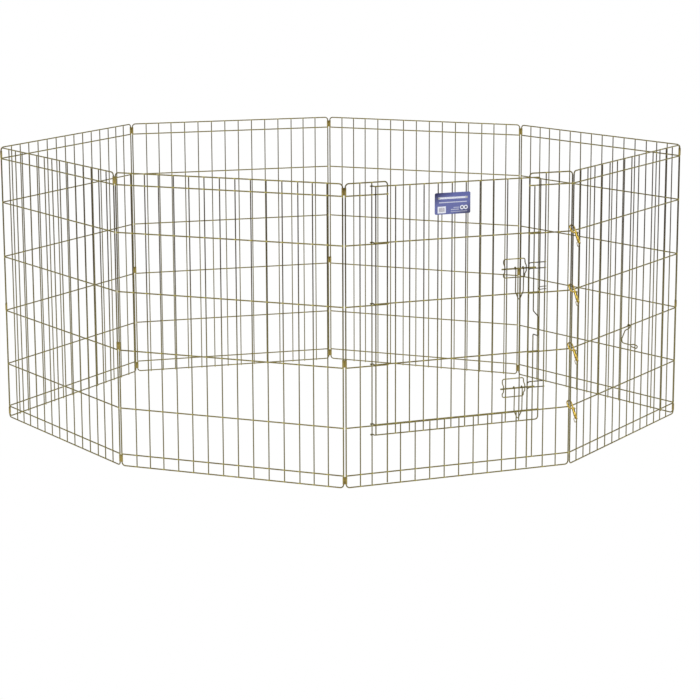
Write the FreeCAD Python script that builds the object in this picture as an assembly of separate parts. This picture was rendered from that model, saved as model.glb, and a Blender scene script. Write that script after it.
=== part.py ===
"""Folding wire pet playpen: eight welded wire panels, a hinged door, hinge clips and bolt snaps.

Each panel is drawn flat in its own frame and then set round the pen. In that frame x runs along the panel from
the axis of its left side wire, y points into the pen and z is up. The row frame has the door panel along X,
facing -Y, with its origin at the bottom centre of the whole pen. All sizes are in millimetres and degrees.
"""

import FreeCAD
import Part
import math
import os

from FreeCAD import Placement, Rotation, Vector

# Pen: eight 24 inch panels, 30 inches high, standing as a slightly oval ring.
PANEL_PITCH = 610.0
PANEL_HEIGHT = 762.0
CLIP_PITCH = 6.6
FRAME_WIDTH = PANEL_PITCH - CLIP_PITCH
# Panels counter-clockwise from the door, each with the turn at the corner that follows it.
RING = [
    ("door_panel", 35.5),
    ("right_front_panel", 75.5),
    ("right_back_panel", 28.5),
    ("back_right_panel", 36.0),
    ("back_left_panel", 45.0),
    ("left_back_panel", 66.5),
    ("left_front_panel", 33.5),
    ("front_panel", 39.5),
]
# The corner after each panel that is hinged. The door panel's own corner is closed by the snaps.
CORNERS = {
    "right_front_panel": "right",
    "right_back_panel": "back_right",
    "back_right_panel": "back",
    "back_left_panel": "back_left",
    "left_back_panel": "left",
    "left_front_panel": "front_left",
    "front_panel": "front",
}
# Where the right front panel's first side wire stands, which centres the pen on the origin.
CHAIN_START = (383.6, -669.2)

# Wires.
FRAME_D = 3.4
RAIL_D = 3.4
BAR_D = 3.0
WELD_SINK = 0.3
CUT_END = 1.0
FRAME_BEND = 9.0
JAMB_BEND = 8.0

# Heights of the horizontal wires.
BOTTOM_Z = CUT_END + FRAME_D / 2
TOP_Z = PANEL_HEIGHT - FRAME_D / 2
RAIL_STEP = (TOP_Z - BOTTOM_Z) / 5
EDGE_RAIL = RAIL_STEP / 5
RAIL_ZS = [BOTTOM_Z + EDGE_RAIL] + [BOTTOM_Z + k * RAIL_STEP for k in (1, 2, 3, 4)] + [TOP_Z - EDGE_RAIL]
SILL_Z = RAIL_ZS[1]
RAIL_START = 0.6

# Bars stand on the inner side of the rails.
BAR_Y = (BAR_D + RAIL_D) / 2 - WELD_SINK
BAR_TOP = TOP_Z + 0.6
BAR_EDGE = 40.9
BAR_SIDE = 37.7
BAR_MIDDLE_GAPS = 9

# Door panel: stubs beside the doorway, short bars under it.
HINGE_X = 69.0
STUB_BARS = [38.3, HINGE_X, 532.3, 568.7]
JAMB_XS = [109.5, 487.5]
JAMB_Y = (FRAME_D + RAIL_D) / 2 - WELD_SINK
JAMB_FOOT = BOTTOM_Z + FRAME_D / 2 + 0.4
SHORT_BAR_START = 144.3
SHORT_BAR_STEP = 39.2
SHORT_BARS = 9
SHORT_BAR_TOP = SILL_Z + 0.6

# Bow bar, whose middle stands out through the door.
BOW_X = 501.7
BOW_OUT = 28.0
BOW_ZS = (351.0, 353.0, 402.0, 411.0)
BOW_BEND = 4.0

# Door stop, a U of wire behind the door's closing edge.
STOP_D = 2.2
STOP_Z = 468.0
STOP_HALF = 3.4
STOP_Y = BAR_Y + (BAR_D + STOP_D) / 2 - WELD_SINK
STOP_XS = (515.0, 527.0, 538.0)
STOP_BEND = 6.0

# Door, which lies against the outside of its panel.
DOOR_GAP = 0.3
DOOR_FRAME_D = 3.2
DOOR_RAIL_D = 3.3
DOOR_LEFT = HINGE_X + 7.8
DOOR_RIGHT = 514.7
DOOR_TOP = 750.5
DOOR_BOTTOM = 131.0
DOOR_BEND = 8.0
DOOR_FRAME_Y = -(RAIL_D / 2 + DOOR_GAP + DOOR_FRAME_D / 2)
DOOR_BAR_Y = -(RAIL_D / 2 + DOOR_GAP + BAR_D / 2)
DOOR_BAR_START = 128.3
DOOR_BAR_STEP = 37.1
DOOR_BARS = 10
DOOR_RAIL_Y = DOOR_BAR_Y - (BAR_D + DOOR_RAIL_D) / 2 + WELD_SINK
DOOR_RAIL_LIFT = (RAIL_D + DOOR_RAIL_D) / 2 + DOOR_GAP
EYE_RADIUS = BAR_D / 2 + 0.3 + DOOR_RAIL_D / 2
FRAME_EYE = BAR_D / 2 + 0.3 + DOOR_FRAME_D / 2

# Latches: a cage on the door, a sliding bolt, a hanging handle, and a catch on the panel.
LATCH_ZS = {"upper": 525.0, "lower": 219.0}
LATCH_D = 2.8
BOLT_D = 4.0
BOLT_XS = (407.5, 501.5)
BOLT_TRAVEL = 26.0
CAGE_XS = (414.7, 473.0)
CAGE_RISE = 24.0
CAGE_DROP = 23.0
CAGE_BEND = 5.0
ARM_FOOT = 14.0
ARM_BOW = 7.0
ARM_BEND = 3.0
CAGE_Y = DOOR_BAR_Y - (BAR_D + LATCH_D) / 2 + WELD_SINK
HANDLE_XS = (444.7, 466.2)
HANDLE_TIP_X = 455.5
HANDLE_DROP = 82.0
HANDLE_SHOULDER = 58.0
HANDLE_LEAN = 3.0
SHOULDER_BEND = 12.0
TIP_BEND = 3.0
HANDLE_EYE = BOLT_D / 2 + 0.3 + LATCH_D / 2
BOLT_Y = DOOR_BAR_Y - BAR_D / 2 - 0.3 - LATCH_D / 2 - HANDLE_EYE
CAGE_BOW_Y = BOLT_Y - BOLT_D / 2 - 0.3 - LATCH_D / 2
CATCH_LEG = 7.5
CATCH_RISE = 2.5
CATCH_Y = BAR_Y - (BAR_D + LATCH_D) / 2 + WELD_SINK
CATCH_TIP_Y = BOLT_Y - BOLT_D / 2 - 0.5 - LATCH_D / 2
CATCH_XS = (479.8, 490.8, 534.0)
CATCH_BEND = 4.0

# Label card on the door bars, held by two wire ties.
CARD_XS = (229.7, 324.0)
CARD_ZS = (672.0, 725.5)
CARD_THICK = 0.8
CARD_CORNER = 4.0
CARD_GAP = 0.2
TIE_D = 1.2
TIE_RADIUS = 3.0
TIE_Z = 712.0
TIE_BARS = (3, 5)
TIE_Y = -4.1

# Hinge clips: rolled sheet round the two side wires.
CLIP_BORE = FRAME_D + 0.3
CLIP_WALL = 0.7
CLIP_HEIGHT = 18.6
CLIP_WEB = 1.6
CLIP_ZS = (12.0, RAIL_ZS[2] + RAIL_D / 2 + 0.3, RAIL_ZS[5] + RAIL_D / 2 + 0.4)

# Bolt snaps. In a snap's own frame x runs from the jaw to the tail, y across and z out of its face.
SNAP_RAILS = (4, 3, 2, 1)
SNAP_TILT = 55.0
SNAP_TURN = 10.0
SNAP_RISE = 6.5
HOOK_D = 3.6
HOOK_HALF = 7.4
HOOK_TOP = -9.0
HOOK_TIP = -1.6
BARREL = (10.0, 33.0)
BARREL_D = 8.0
BARREL_BORE = (4.2, 30.0)
SNAP_BOLT_D = 3.8
SNAP_BOLT = (-1.2, 18.0)
SNAP_TRAVEL = 8.0
KNOB_X = 15.0
KNOB_D = 5.2
KNOB_STEM_D = 2.2
KNOB_Z = (4.6, 6.4)
SLOT_WIDTH = 2.8
TAIL_END = 42.0
TAIL_WIDTH = 6.0
TAIL_THICK = 3.0
TAIL_HOLE_X = 38.5
TAIL_HOLE_D = 2.6
RING_D = 1.8
RING_HALF = 7.0
RING_DROP = 14.0
RING_BEND = 2.2
SPRING_WIRE_D = 0.5
SPRING_RADIUS = 1.6
SPRING_TURNS = 6

# Storage hook, hung on a rail of the right front panel, in its own plane (outward, up) from the rail's axis.
STORAGE_X = 319.0
STORAGE_RAIL = 2
STORAGE_D = 3.0
STORAGE_EYE = RAIL_D / 2 + 0.3 + STORAGE_D / 2
STORAGE_SHANK = [(3.4, -5.0), (-8.0, -16.0), (-13.0, -42.0), (-9.0, -51.0)]
STORAGE_LOOP = [(14.0, -50.0), (25.0, -45.0), (36.0, -46.0), (35.0, -54.0), (16.0, -53.3)]
STORAGE_BENDS = [3.0, 4.0, 8.0, 5.0, 8.0, 4.0, 3.4, 3.4]

TINY = 1e-4


def rod(start, end, diameter):
    """A straight round wire between two points."""
    run = end - start
    return Part.makeCylinder(diameter / 2, run.Length, start, run)


def corner_arc(before, corner, after, radius):
    """The start, middle and end of the arc that rounds one corner of a bent wire."""
    way_in = (corner - before).normalize()
    way_out = (after - corner).normalize()
    half_turn = way_in.getAngle(way_out) / 2
    back = radius * math.tan(half_turn)
    inward = (way_out - way_in).normalize()
    middle = corner + inward * (radius / math.cos(half_turn) - radius)
    return corner - way_in * back, middle, corner + way_out * back


def bent_edges(points, bends):
    """Straight runs between the points, with an arc of the given radius at each inner point."""
    edges = []
    here = points[0]
    for index, bend in enumerate(bends):
        start, middle, end = corner_arc(*points[index:index + 3], bend)
        if (start - here).Length > TINY:
            edges.append(Part.makeLine(here, start))
        edges.append(Part.Arc(start, middle, end).toShape())
        here = end
    if (points[-1] - here).Length > TINY:
        edges.append(Part.makeLine(here, points[-1]))
    return edges


def bent_wire(points, bends, diameter):
    """A round wire bent along the points. One bend radius may stand for all of them."""
    if not isinstance(bends, list):
        bends = [bends] * (len(points) - 2)
    section = Part.Wire(Part.makeCircle(diameter / 2, points[0], points[1] - points[0]))
    path = Part.Wire(bent_edges(points, bends))
    return path.makePipeShell([section], True, False)


def eye_points(centre, along, across, radius):
    """Points that carry a wire round an eye, for bends of the eye's own radius, by five eighths of a turn."""
    reach = radius * math.tan(math.radians(22.5))
    return [
        centre + along * radius + across * radius,
        centre + along * radius - across * radius,
        centre - along * reach - across * radius,
        centre - along * (radius + reach) / 2 - across * (radius - (radius - reach) / 2),
    ]


def plan():
    """Origin and heading of each panel, walking round from the snap corner to the door panel."""
    turns = dict(RING)
    names = [name for name, _ in RING]
    heading = turns["door_panel"]
    at = Vector(*CHAIN_START, 0)
    places = {}
    for name in names[1:] + names[:1]:
        places[name] = (at, heading % 360)
        at = at + direction(heading) * FRAME_WIDTH
        at = at + direction(heading + turns[name] / 2) * CLIP_PITCH
        heading += turns[name]
    return places


def direction(heading):
    """Unit vector of a heading in the ground plane."""
    return Vector(math.cos(math.radians(heading)), math.sin(math.radians(heading)), 0)


def end_of(place):
    """The foot of a panel's right side wire."""
    return place[0] + direction(place[1]) * FRAME_WIDTH


def set_in_ring(solids, place):
    """Solids of one panel moved from the panel's own frame to its place in the pen."""
    group = Part.makeCompound(solids)
    group.Placement = Placement(place[0], Rotation(Vector(0, 0, 1), place[1]))
    return group


def panel_frame():
    """The bent rectangle of wire round a plain panel."""
    middle = FRAME_WIDTH / 2
    points = [
        Vector(middle, 0, BOTTOM_Z),
        Vector(FRAME_WIDTH, 0, BOTTOM_Z),
        Vector(FRAME_WIDTH, 0, TOP_Z),
        Vector(0, 0, TOP_Z),
        Vector(0, 0, BOTTOM_Z),
        Vector(middle, 0, BOTTOM_Z),
    ]
    return [bent_wire(points, FRAME_BEND, FRAME_D)]


def rail(x_start, x_end, z):
    """One horizontal wire of a panel."""
    return rod(Vector(x_start, 0, z), Vector(x_end, 0, z), RAIL_D)


def bar(x, top):
    """One upright wire of a panel, with its cut end on the ground."""
    return rod(Vector(x, BAR_Y, 0), Vector(x, BAR_Y, top), BAR_D)


def bar_places():
    """Where the bars of a plain panel stand."""
    gaps = [BAR_SIDE] * 2
    middle = (FRAME_WIDTH - 2 * BAR_EDGE - 4 * BAR_SIDE) / BAR_MIDDLE_GAPS
    gaps += [middle] * BAR_MIDDLE_GAPS + [BAR_SIDE] * 2
    places = [BAR_EDGE]
    for gap in gaps:
        places.append(places[-1] + gap)
    return places


def door_panel_frame():
    """The frame wire round the doorway, whose two ends turn down as jambs."""
    left, right = JAMB_XS
    points = [
        Vector(left, JAMB_Y, JAMB_FOOT),
        Vector(left, JAMB_Y, TOP_Z),
        Vector(0, 0, TOP_Z),
        Vector(0, 0, BOTTOM_Z),
        Vector(FRAME_WIDTH, 0, BOTTOM_Z),
        Vector(FRAME_WIDTH, 0, TOP_Z),
        Vector(right, JAMB_Y, TOP_Z),
        Vector(right, JAMB_Y, JAMB_FOOT),
    ]
    bends = [JAMB_BEND] + [FRAME_BEND] * 4 + [JAMB_BEND]
    return [bent_wire(points, bends, FRAME_D)]


def door_panel_rails():
    """Full rails up to the sill, and stub rails beside the doorway."""
    solids = [rail(RAIL_START, FRAME_WIDTH - RAIL_START, z) for z in RAIL_ZS[:2]]
    for z in RAIL_ZS[2:]:
        solids.append(rail(RAIL_START, JAMB_XS[0] + FRAME_D / 2, z))
        solids.append(rail(JAMB_XS[1] - FRAME_D / 2, FRAME_WIDTH - RAIL_START, z))
    return solids


def door_panel_bars():
    """Full bars in the stubs, one of them the door's hinge bar, and short bars under the sill."""
    solids = [bar(x, BAR_TOP) for x in STUB_BARS]
    solids += [bar(SHORT_BAR_START + k * SHORT_BAR_STEP, SHORT_BAR_TOP) for k in range(SHORT_BARS)]
    return solids


def bow_bar():
    """The upright beside the doorway whose middle bows outwards."""
    low, low_out, high_out, high = BOW_ZS
    points = [
        Vector(BOW_X, BAR_Y, RAIL_ZS[0] - CUT_END),
        Vector(BOW_X, BAR_Y, low),
        Vector(BOW_X, -BOW_OUT, low_out),
        Vector(BOW_X, -BOW_OUT, high_out),
        Vector(BOW_X, BAR_Y, high),
        Vector(BOW_X, BAR_Y, RAIL_ZS[5] + CUT_END),
    ]
    return [bent_wire(points, BOW_BEND, BAR_D)]


def door_stop():
    """A U of wire on the panel, with its closed end behind the door's edge."""
    closed, knee, end = STOP_XS
    points = []
    for side in (1, -1):
        leg = [
            Vector(end, STOP_Y, STOP_Z + side * STOP_HALF),
            Vector(knee, STOP_Y, STOP_Z + side * STOP_HALF),
            Vector(closed, 0, STOP_Z + side * STOP_HALF),
        ]
        points += leg if side > 0 else leg[::-1]
    bends = [STOP_BEND, STOP_HALF - 0.2, STOP_HALF - 0.2, STOP_BEND]
    return [bent_wire(points, bends, STOP_D)]


def latch_catches():
    """The two catches, each a U of wire that stands out through the door round the bolt's end."""
    tip, knee, end = CATCH_XS
    solids = []
    for height in LATCH_ZS.values():
        points = []
        for side in (1, -1):
            z = height + CATCH_RISE + side * CATCH_LEG
            leg = [Vector(end, CATCH_Y, z), Vector(knee, CATCH_Y, z), Vector(tip, CATCH_TIP_Y, z)]
            points += leg if side > 0 else leg[::-1]
        solids.append(bent_wire(points, CATCH_BEND, LATCH_D))
    return solids


def hinge_eye(height, radius, y):
    """Points from the door's front, at y, through an eye round the hinge bar."""
    hinge = Vector(HINGE_X, BAR_Y, height)
    start = Vector(HINGE_X + radius, y, height)
    return [start] + eye_points(hinge, Vector(0, 1, 0), Vector(1, 0, 0), radius)


def door_frame():
    """The wire round three sides of the door, with an eye round the hinge bar at each end."""
    top_eye = hinge_eye(DOOR_TOP, FRAME_EYE, DOOR_FRAME_Y)
    bottom_eye = hinge_eye(DOOR_BOTTOM, FRAME_EYE, DOOR_FRAME_Y)
    corners = [Vector(DOOR_RIGHT, DOOR_FRAME_Y, DOOR_TOP), Vector(DOOR_RIGHT, DOOR_FRAME_Y, DOOR_BOTTOM)]
    eye_bends = [FRAME_EYE] * 4
    bends = eye_bends + [DOOR_BEND] * 2 + eye_bends
    return [bent_wire(top_eye[::-1] + corners + bottom_eye, bends, DOOR_FRAME_D)]


def door_rails():
    """The door's rails, each ending in an eye round the hinge bar."""
    solids = []
    for z in RAIL_ZS[1:5]:
        height = z + DOOR_RAIL_LIFT
        points = [Vector(DOOR_RIGHT + CUT_END, DOOR_RAIL_Y, height)]
        points += hinge_eye(height, EYE_RADIUS, DOOR_RAIL_Y)
        solids.append(bent_wire(points, EYE_RADIUS, DOOR_RAIL_D))
    return solids


def door_bar_x(index):
    """Where a bar of the door stands."""
    return DOOR_BAR_START + index * DOOR_BAR_STEP


def door_bars():
    """The door's inner bars, and the upright of its hinge side."""
    edge = Vector(DOOR_LEFT, DOOR_FRAME_Y, DOOR_BOTTOM)
    solids = [rod(edge, Vector(edge.x, edge.y, DOOR_TOP), DOOR_FRAME_D)]
    for index in range(DOOR_BARS):
        foot = Vector(door_bar_x(index), DOOR_BAR_Y, DOOR_BOTTOM)
        solids.append(rod(foot, Vector(foot.x, foot.y, DOOR_TOP), BAR_D))
    return solids


def latch_cages():
    """The two cages, whose side arms bow out over the bolts."""
    left, right = CAGE_XS
    solids = []
    for height in LATCH_ZS.values():
        arm = [
            (CAGE_Y, height + CAGE_RISE),
            (CAGE_Y, height + ARM_FOOT),
            (CAGE_BOW_Y, height + ARM_BOW),
            (CAGE_BOW_Y, height - ARM_BOW),
            (CAGE_Y, height - ARM_FOOT),
            (CAGE_Y, height - CAGE_DROP),
        ]
        middle = (left + right) / 2
        points = [Vector(middle, CAGE_Y, height + CAGE_RISE)]
        points += [Vector(right, y, z) for y, z in arm]
        points += [Vector(left, y, z) for y, z in arm[::-1]]
        points.append(points[0])
        bends = [CAGE_BEND, ARM_BEND, ARM_BEND, ARM_BEND, ARM_BEND, CAGE_BEND] * 2
        solids.append(bent_wire(points, bends, LATCH_D))
    return solids


def latch_bolt(height):
    """One sliding bolt, a round rod with domed ends."""
    left, right = BOLT_XS
    bolt = rod(Vector(left, BOLT_Y, height), Vector(right, BOLT_Y, height), BOLT_D)
    return [bolt.makeFillet(BOLT_D * 0.3, bolt.Edges[:1] + bolt.Edges[2:])]


def latch_handle(height):
    """One handle: a pointed loop that hangs by two eyes from the bolt."""
    left, right = HANDLE_XS
    legs = []
    for x in (left, right):
        bolt = Vector(x, BOLT_Y, height)
        eye = eye_points(bolt, Vector(0, 0, 1), Vector(0, -1, 0), HANDLE_EYE)
        shoulder = Vector(x, BOLT_Y - HANDLE_EYE + HANDLE_LEAN / 2, height - HANDLE_SHOULDER)
        legs.append(eye[::-1] + [shoulder])
    tip = Vector(HANDLE_TIP_X, BOLT_Y - HANDLE_EYE + HANDLE_LEAN, height - HANDLE_DROP)
    points = legs[0] + [tip] + legs[1][::-1]
    eye_bends = [HANDLE_EYE] * 3
    bends = eye_bends + [SHOULDER_BEND, TIP_BEND, SHOULDER_BEND] + eye_bends
    return [bent_wire(points, bends, LATCH_D)]


def label_card():
    """The blank card on the door bars, and the two wire ties that hold it."""
    left, right = CARD_XS
    low, high = CARD_ZS
    front = DOOR_BAR_Y - BAR_D / 2 - CARD_GAP - CARD_THICK
    card = Part.makeBox(right - left, CARD_THICK, high - low, Vector(left, front, low))
    upright = [edge for edge in card.Edges if abs(edge.tangentAt(edge.FirstParameter).y) > 0.5]
    card = card.makeFillet(CARD_CORNER, upright)
    ties = []
    for index in TIE_BARS:
        centre = Vector(door_bar_x(index), TIE_Y, TIE_Z)
        tie = Part.makeTorus(TIE_RADIUS, TIE_D / 2, centre, Vector(0, 0, 1))
        hole = Part.makeTorus(TIE_RADIUS, TIE_D / 2 + 0.2, centre, Vector(0, 0, 1))
        card = card.cut(hole)
        ties.append(tie)
    return card.Solids + ties


def clip_frame(places, before, after):
    """Placement of a hinge clip at a corner: midway between the side wires, x from one to the other."""
    start = end_of(places[before])
    end = places[after][0]
    across = end - start
    angle = math.degrees(math.atan2(across.y, across.x))
    return Placement((start + end) / 2, Rotation(Vector(0, 0, 1), angle))


def hinge_clips():
    """Three clips of one corner, each a sheet rolled round both side wires."""
    half = CLIP_PITCH / 2
    outer = CLIP_BORE / 2 + CLIP_WALL
    solids = []
    for z in CLIP_ZS:
        body = Part.makeBox(CLIP_PITCH, CLIP_WEB, CLIP_HEIGHT, Vector(-half, -CLIP_WEB / 2, z))
        for x in (-half, half):
            body = body.fuse(Part.makeCylinder(outer, CLIP_HEIGHT, Vector(x, 0, z)))
        for x in (-half, half):
            body = body.cut(Part.makeCylinder(CLIP_BORE / 2, CLIP_HEIGHT, Vector(x, 0, z)))
        solids += body.removeSplitter().Solids
    return solids


def snap_placement(places, rail_index):
    """Placement of a bolt snap on the open corner, hanging outwards from a rail."""
    start = end_of(places["door_panel"])
    end = places["right_front_panel"][0]
    across = (end - start).normalize()
    outward = Vector(across.y, -across.x, 0)
    tilt = math.radians(SNAP_TILT)
    turn = math.radians(SNAP_TURN)
    down = outward * math.cos(tilt) - Vector(0, 0, 1) * math.sin(tilt)
    along = down * math.cos(turn) - across * math.sin(turn)
    side = across * math.cos(turn) + down * math.sin(turn)
    jaw = (start + end) / 2 + Vector(0, 0, RAIL_ZS[rail_index] + SNAP_RISE)
    return Placement(jaw, Rotation(along, side, along.cross(side), "XYZ"))


def snap_body():
    """The casting of a bolt snap: open jaw, barrel with a slot, and tail with a hole."""
    barrel_start, barrel_end = BARREL
    hook = bent_wire(
        [
            Vector(barrel_start + 3.0, HOOK_HALF - BARREL_D / 2 + 0.6, 0),
            Vector(barrel_start - 1.0, -HOOK_HALF, 0),
            Vector(HOOK_TOP, -HOOK_HALF, 0),
            Vector(HOOK_TOP, HOOK_HALF, 0),
            Vector(HOOK_TIP, HOOK_HALF, 0),
        ],
        [5.0, HOOK_HALF - 0.4, HOOK_HALF - 0.4],
        HOOK_D,
    )
    axis = Vector(1, 0, 0)
    start = Vector(barrel_start, HOOK_HALF, 0)
    body = Part.makeCylinder(BARREL_D / 2, barrel_end - barrel_start, start, axis)
    tail = Part.makeBox(
        TAIL_END - barrel_end + 1.0,
        TAIL_THICK,
        TAIL_WIDTH,
        Vector(barrel_end - 1.0, HOOK_HALF - TAIL_THICK / 2, -TAIL_WIDTH / 2),
    )
    ends = [edge for edge in tail.Edges if edge.BoundBox.XMin > TAIL_END - 0.1 and edge.BoundBox.YLength > 1]
    tail = tail.makeFillet(TAIL_WIDTH / 2 - 0.2, ends)
    body = body.fuse(tail).fuse(hook)
    bore_d, bore_end = BARREL_BORE
    bore = Part.makeCylinder(bore_d / 2, bore_end - barrel_start + 1, start - axis, axis)
    slot_start = KNOB_X - SLOT_WIDTH / 2
    slot_length = SNAP_TRAVEL + SLOT_WIDTH
    slot = Part.makeBox(slot_length, SLOT_WIDTH, BARREL_D, Vector(slot_start, HOOK_HALF - SLOT_WIDTH / 2, 0))
    hole = Part.makeCylinder(
        TAIL_HOLE_D / 2, TAIL_THICK + 2, Vector(TAIL_HOLE_X, HOOK_HALF - TAIL_THICK / 2 - 1, 0), Vector(0, 1, 0)
    )
    return body.cut(bore).cut(slot).cut(hole).removeSplitter().Solids


def snap_bolt():
    """The spring bolt of a snap with its thumb knob."""
    start, end = SNAP_BOLT
    bolt = Part.makeCylinder(SNAP_BOLT_D / 2, end - start, Vector(start, HOOK_HALF, 0), Vector(1, 0, 0))
    low, high = KNOB_Z
    stem = Part.makeCylinder(KNOB_STEM_D / 2, high, Vector(KNOB_X, HOOK_HALF, 0), Vector(0, 0, 1))
    knob = Part.makeCylinder(KNOB_D / 2, high - low, Vector(KNOB_X, HOOK_HALF, low), Vector(0, 0, 1))
    return bolt.fuse(stem).fuse(knob).removeSplitter().Solids


def snap_spring():
    """The coil spring behind the bolt, at its working length."""
    start = SNAP_BOLT[1] + 0.3 + SPRING_WIRE_D / 2
    length = BARREL_BORE[1] - start - 0.3 - SPRING_WIRE_D / 2
    helix = Part.makeHelix(length / SPRING_TURNS, length, SPRING_RADIUS)
    section = Part.Wire(Part.makeCircle(SPRING_WIRE_D / 2, Vector(SPRING_RADIUS, 0, 0), Vector(0, 1, 0)))
    coil = Part.Wire(helix.Edges).makePipeShell([section], True, True)
    coil.Placement = Placement(Vector(start, HOOK_HALF, 0), Rotation(Vector(0, 1, 0), 90))
    return [coil]


def snap_ring(placement):
    """The triangular ring in a snap's tail, hanging straight down."""
    pivot = placement.multVec(Vector(TAIL_HOLE_X, HOOK_HALF, 0))
    axis = placement.Rotation.multVec(Vector(0, 1, 0))
    down = Vector(0, 0, -1)
    hang = (down - axis * down.dot(axis)).normalize()
    left = pivot - axis * RING_HALF
    right = pivot + axis * RING_HALF
    points = [pivot, right, pivot + hang * RING_DROP, left, pivot]
    return [bent_wire(points, RING_BEND, RING_D)]


def storage_hook():
    """The storage hook on its rail, turned about the rail until it hangs at rest."""
    outward = Vector(0, -1, 0)
    up = Vector(0, 0, 1)
    pivot = Vector(STORAGE_X, 0, RAIL_ZS[STORAGE_RAIL])
    eye = eye_points(pivot, up, outward, STORAGE_EYE)[::-1]
    route = [pivot + outward * o + up * z for o, z in STORAGE_SHANK + STORAGE_LOOP]
    hook = bent_wire(eye + route, [STORAGE_EYE] * 3 + STORAGE_BENDS, STORAGE_D)
    arm = hook.CenterOfGravity - pivot
    swing = math.degrees(math.atan2(arm.dot(outward), -arm.dot(up)))
    hook.rotate(pivot, Vector(1, 0, 0), swing)
    return [hook]


def panel_nodes(name):
    """The nodes of one panel, in the panel's own frame."""
    if name == "door_panel":
        return {
            name + "_frame": door_panel_frame(),
            name + "_rails": door_panel_rails(),
            name + "_bars": door_panel_bars(),
            "bow_bar": bow_bar(),
            "door_stop": door_stop(),
            "latch_catches": latch_catches(),
            "door_frame": door_frame(),
            "door_rails": door_rails(),
            "door_bars": door_bars(),
            "latch_cages": latch_cages(),
            "label_card": label_card(),
        }
    return {
        name + "_frame": panel_frame(),
        name + "_rails": [rail(RAIL_START, FRAME_WIDTH - RAIL_START, z) for z in RAIL_ZS],
        name + "_bars": [bar(x, BAR_TOP) for x in bar_places()],
    }


def build():
    """Every node of the pen, in the row frame."""
    places = plan()
    nodes = {}
    for name, _ in RING:
        for node, solids in panel_nodes(name).items():
            nodes[node] = set_in_ring(solids, places[name])
    for which, height in LATCH_ZS.items():
        nodes[which + "_latch_bolt"] = set_in_ring(latch_bolt(height), places["door_panel"])
        nodes[which + "_latch_handle"] = set_in_ring(latch_handle(height), places["door_panel"])
    nodes["storage_hook"] = set_in_ring(storage_hook(), places["right_front_panel"])
    names = [name for name, _ in RING] + ["door_panel"]
    for before, after in zip(names, names[1:]):
        if before in CORNERS:
            clips = Part.makeCompound(hinge_clips())
            clips.Placement = clip_frame(places, before, after)
            nodes["hinge_clips_" + CORNERS[before]] = clips
    for number, rail_index in enumerate(SNAP_RAILS, 1):
        placement = snap_placement(places, rail_index)
        pieces = {"body": snap_body(), "bolt": snap_bolt(), "spring": snap_spring()}
        for piece, solids in pieces.items():
            group = Part.makeCompound(solids)
            group.Placement = placement
            nodes["snap_%d_%s" % (number, piece)] = group
        nodes["snap_%d_ring" % number] = Part.makeCompound(snap_ring(placement))
    return nodes


def main():
    """Write one STEP file per node."""
    os.makedirs("parts", exist_ok=True)
    for node, shape in build().items():
        shape.exportStep("parts/%s.step" % node)


if __name__ == "__main__":
    main()
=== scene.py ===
"""Looks of the folding wire pet playpen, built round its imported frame.

Every wire, clip, snap and card is drawn again as a finished piece, in metres, where the frame has it. A
panel is drawn in its own frame, with x along it from its left side wire, y into the pen and z up, and then
set in the ring.
"""

import logging
import math
from dataclasses import dataclass, field
from enum import Enum
from typing import Iterable, Optional, Sequence, Union

import bmesh
import bpy
from mathutils import Matrix, Vector


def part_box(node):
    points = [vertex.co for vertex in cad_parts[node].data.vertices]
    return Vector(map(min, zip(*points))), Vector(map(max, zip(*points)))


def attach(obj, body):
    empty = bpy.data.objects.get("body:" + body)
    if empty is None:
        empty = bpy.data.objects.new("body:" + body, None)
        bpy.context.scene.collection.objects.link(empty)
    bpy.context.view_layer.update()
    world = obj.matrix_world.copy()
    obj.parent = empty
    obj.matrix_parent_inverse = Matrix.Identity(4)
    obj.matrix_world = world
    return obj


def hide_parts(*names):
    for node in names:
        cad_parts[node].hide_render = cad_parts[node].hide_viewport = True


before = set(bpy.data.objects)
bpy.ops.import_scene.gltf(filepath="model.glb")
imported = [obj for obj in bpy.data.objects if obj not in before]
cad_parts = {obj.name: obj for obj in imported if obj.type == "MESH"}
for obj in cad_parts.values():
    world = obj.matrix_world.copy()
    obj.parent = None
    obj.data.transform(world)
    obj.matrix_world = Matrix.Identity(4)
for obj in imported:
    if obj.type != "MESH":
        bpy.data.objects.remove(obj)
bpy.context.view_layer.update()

log = logging.getLogger("playpen")

MM = 0.001
UP = Vector((0.0, 0.0, 1.0))
TINY = 0.00005
CREASE = math.radians(38.0)
CORNER = math.radians(60.0)
BAR_END = 0.28 * MM
WIRE_END = 0.3 * MM


# --------------------------------------------------------------------------- mesh helpers


def bevel(mesh: bmesh.types.BMesh, edges: list, offset: float, segments: int) -> None:
    """Round edges off.

    Args:
        mesh: The mesh that holds them.
        edges: The edges.
        offset: How far the rounding goes in.
        segments: How many facets it has.
    """
    bmesh.ops.bevel(
        mesh, geom=edges, offset=offset, segments=segments, profile=0.5, affect="EDGES", material=-1
    )


def box_place(middle: Sequence[float], size: Sequence[float]) -> Matrix:
    """Place a unit shape and scale it.

    Args:
        middle: Where its middle goes.
        size: Its scale along x, y and z.

    Returns:
        The placement.
    """
    return Matrix.Translation(middle) @ Matrix.Diagonal((*size, 1.0))


def draw_beads(points: Iterable[Vector], size: Sequence[float]) -> bmesh.types.BMesh:
    """Draw a squashed ball of weld metal at each point.

    Args:
        points: The beads' middles.
        size: Half of a bead's size along x, y and z.

    Returns:
        The mesh, all of it marked as weld, which the finishes paint pale as a painted highlight.
    """
    mesh = bmesh.new()
    weld = mesh.verts.layers.float.new("weld")
    size = Vector(size)
    for point in points:
        bmesh.ops.create_uvsphere(
            mesh, u_segments=8, v_segments=5, radius=1.0, matrix=box_place(point, size)
        )
    for vert in mesh.verts:
        vert[weld] = 1.0
    return mesh


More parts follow.
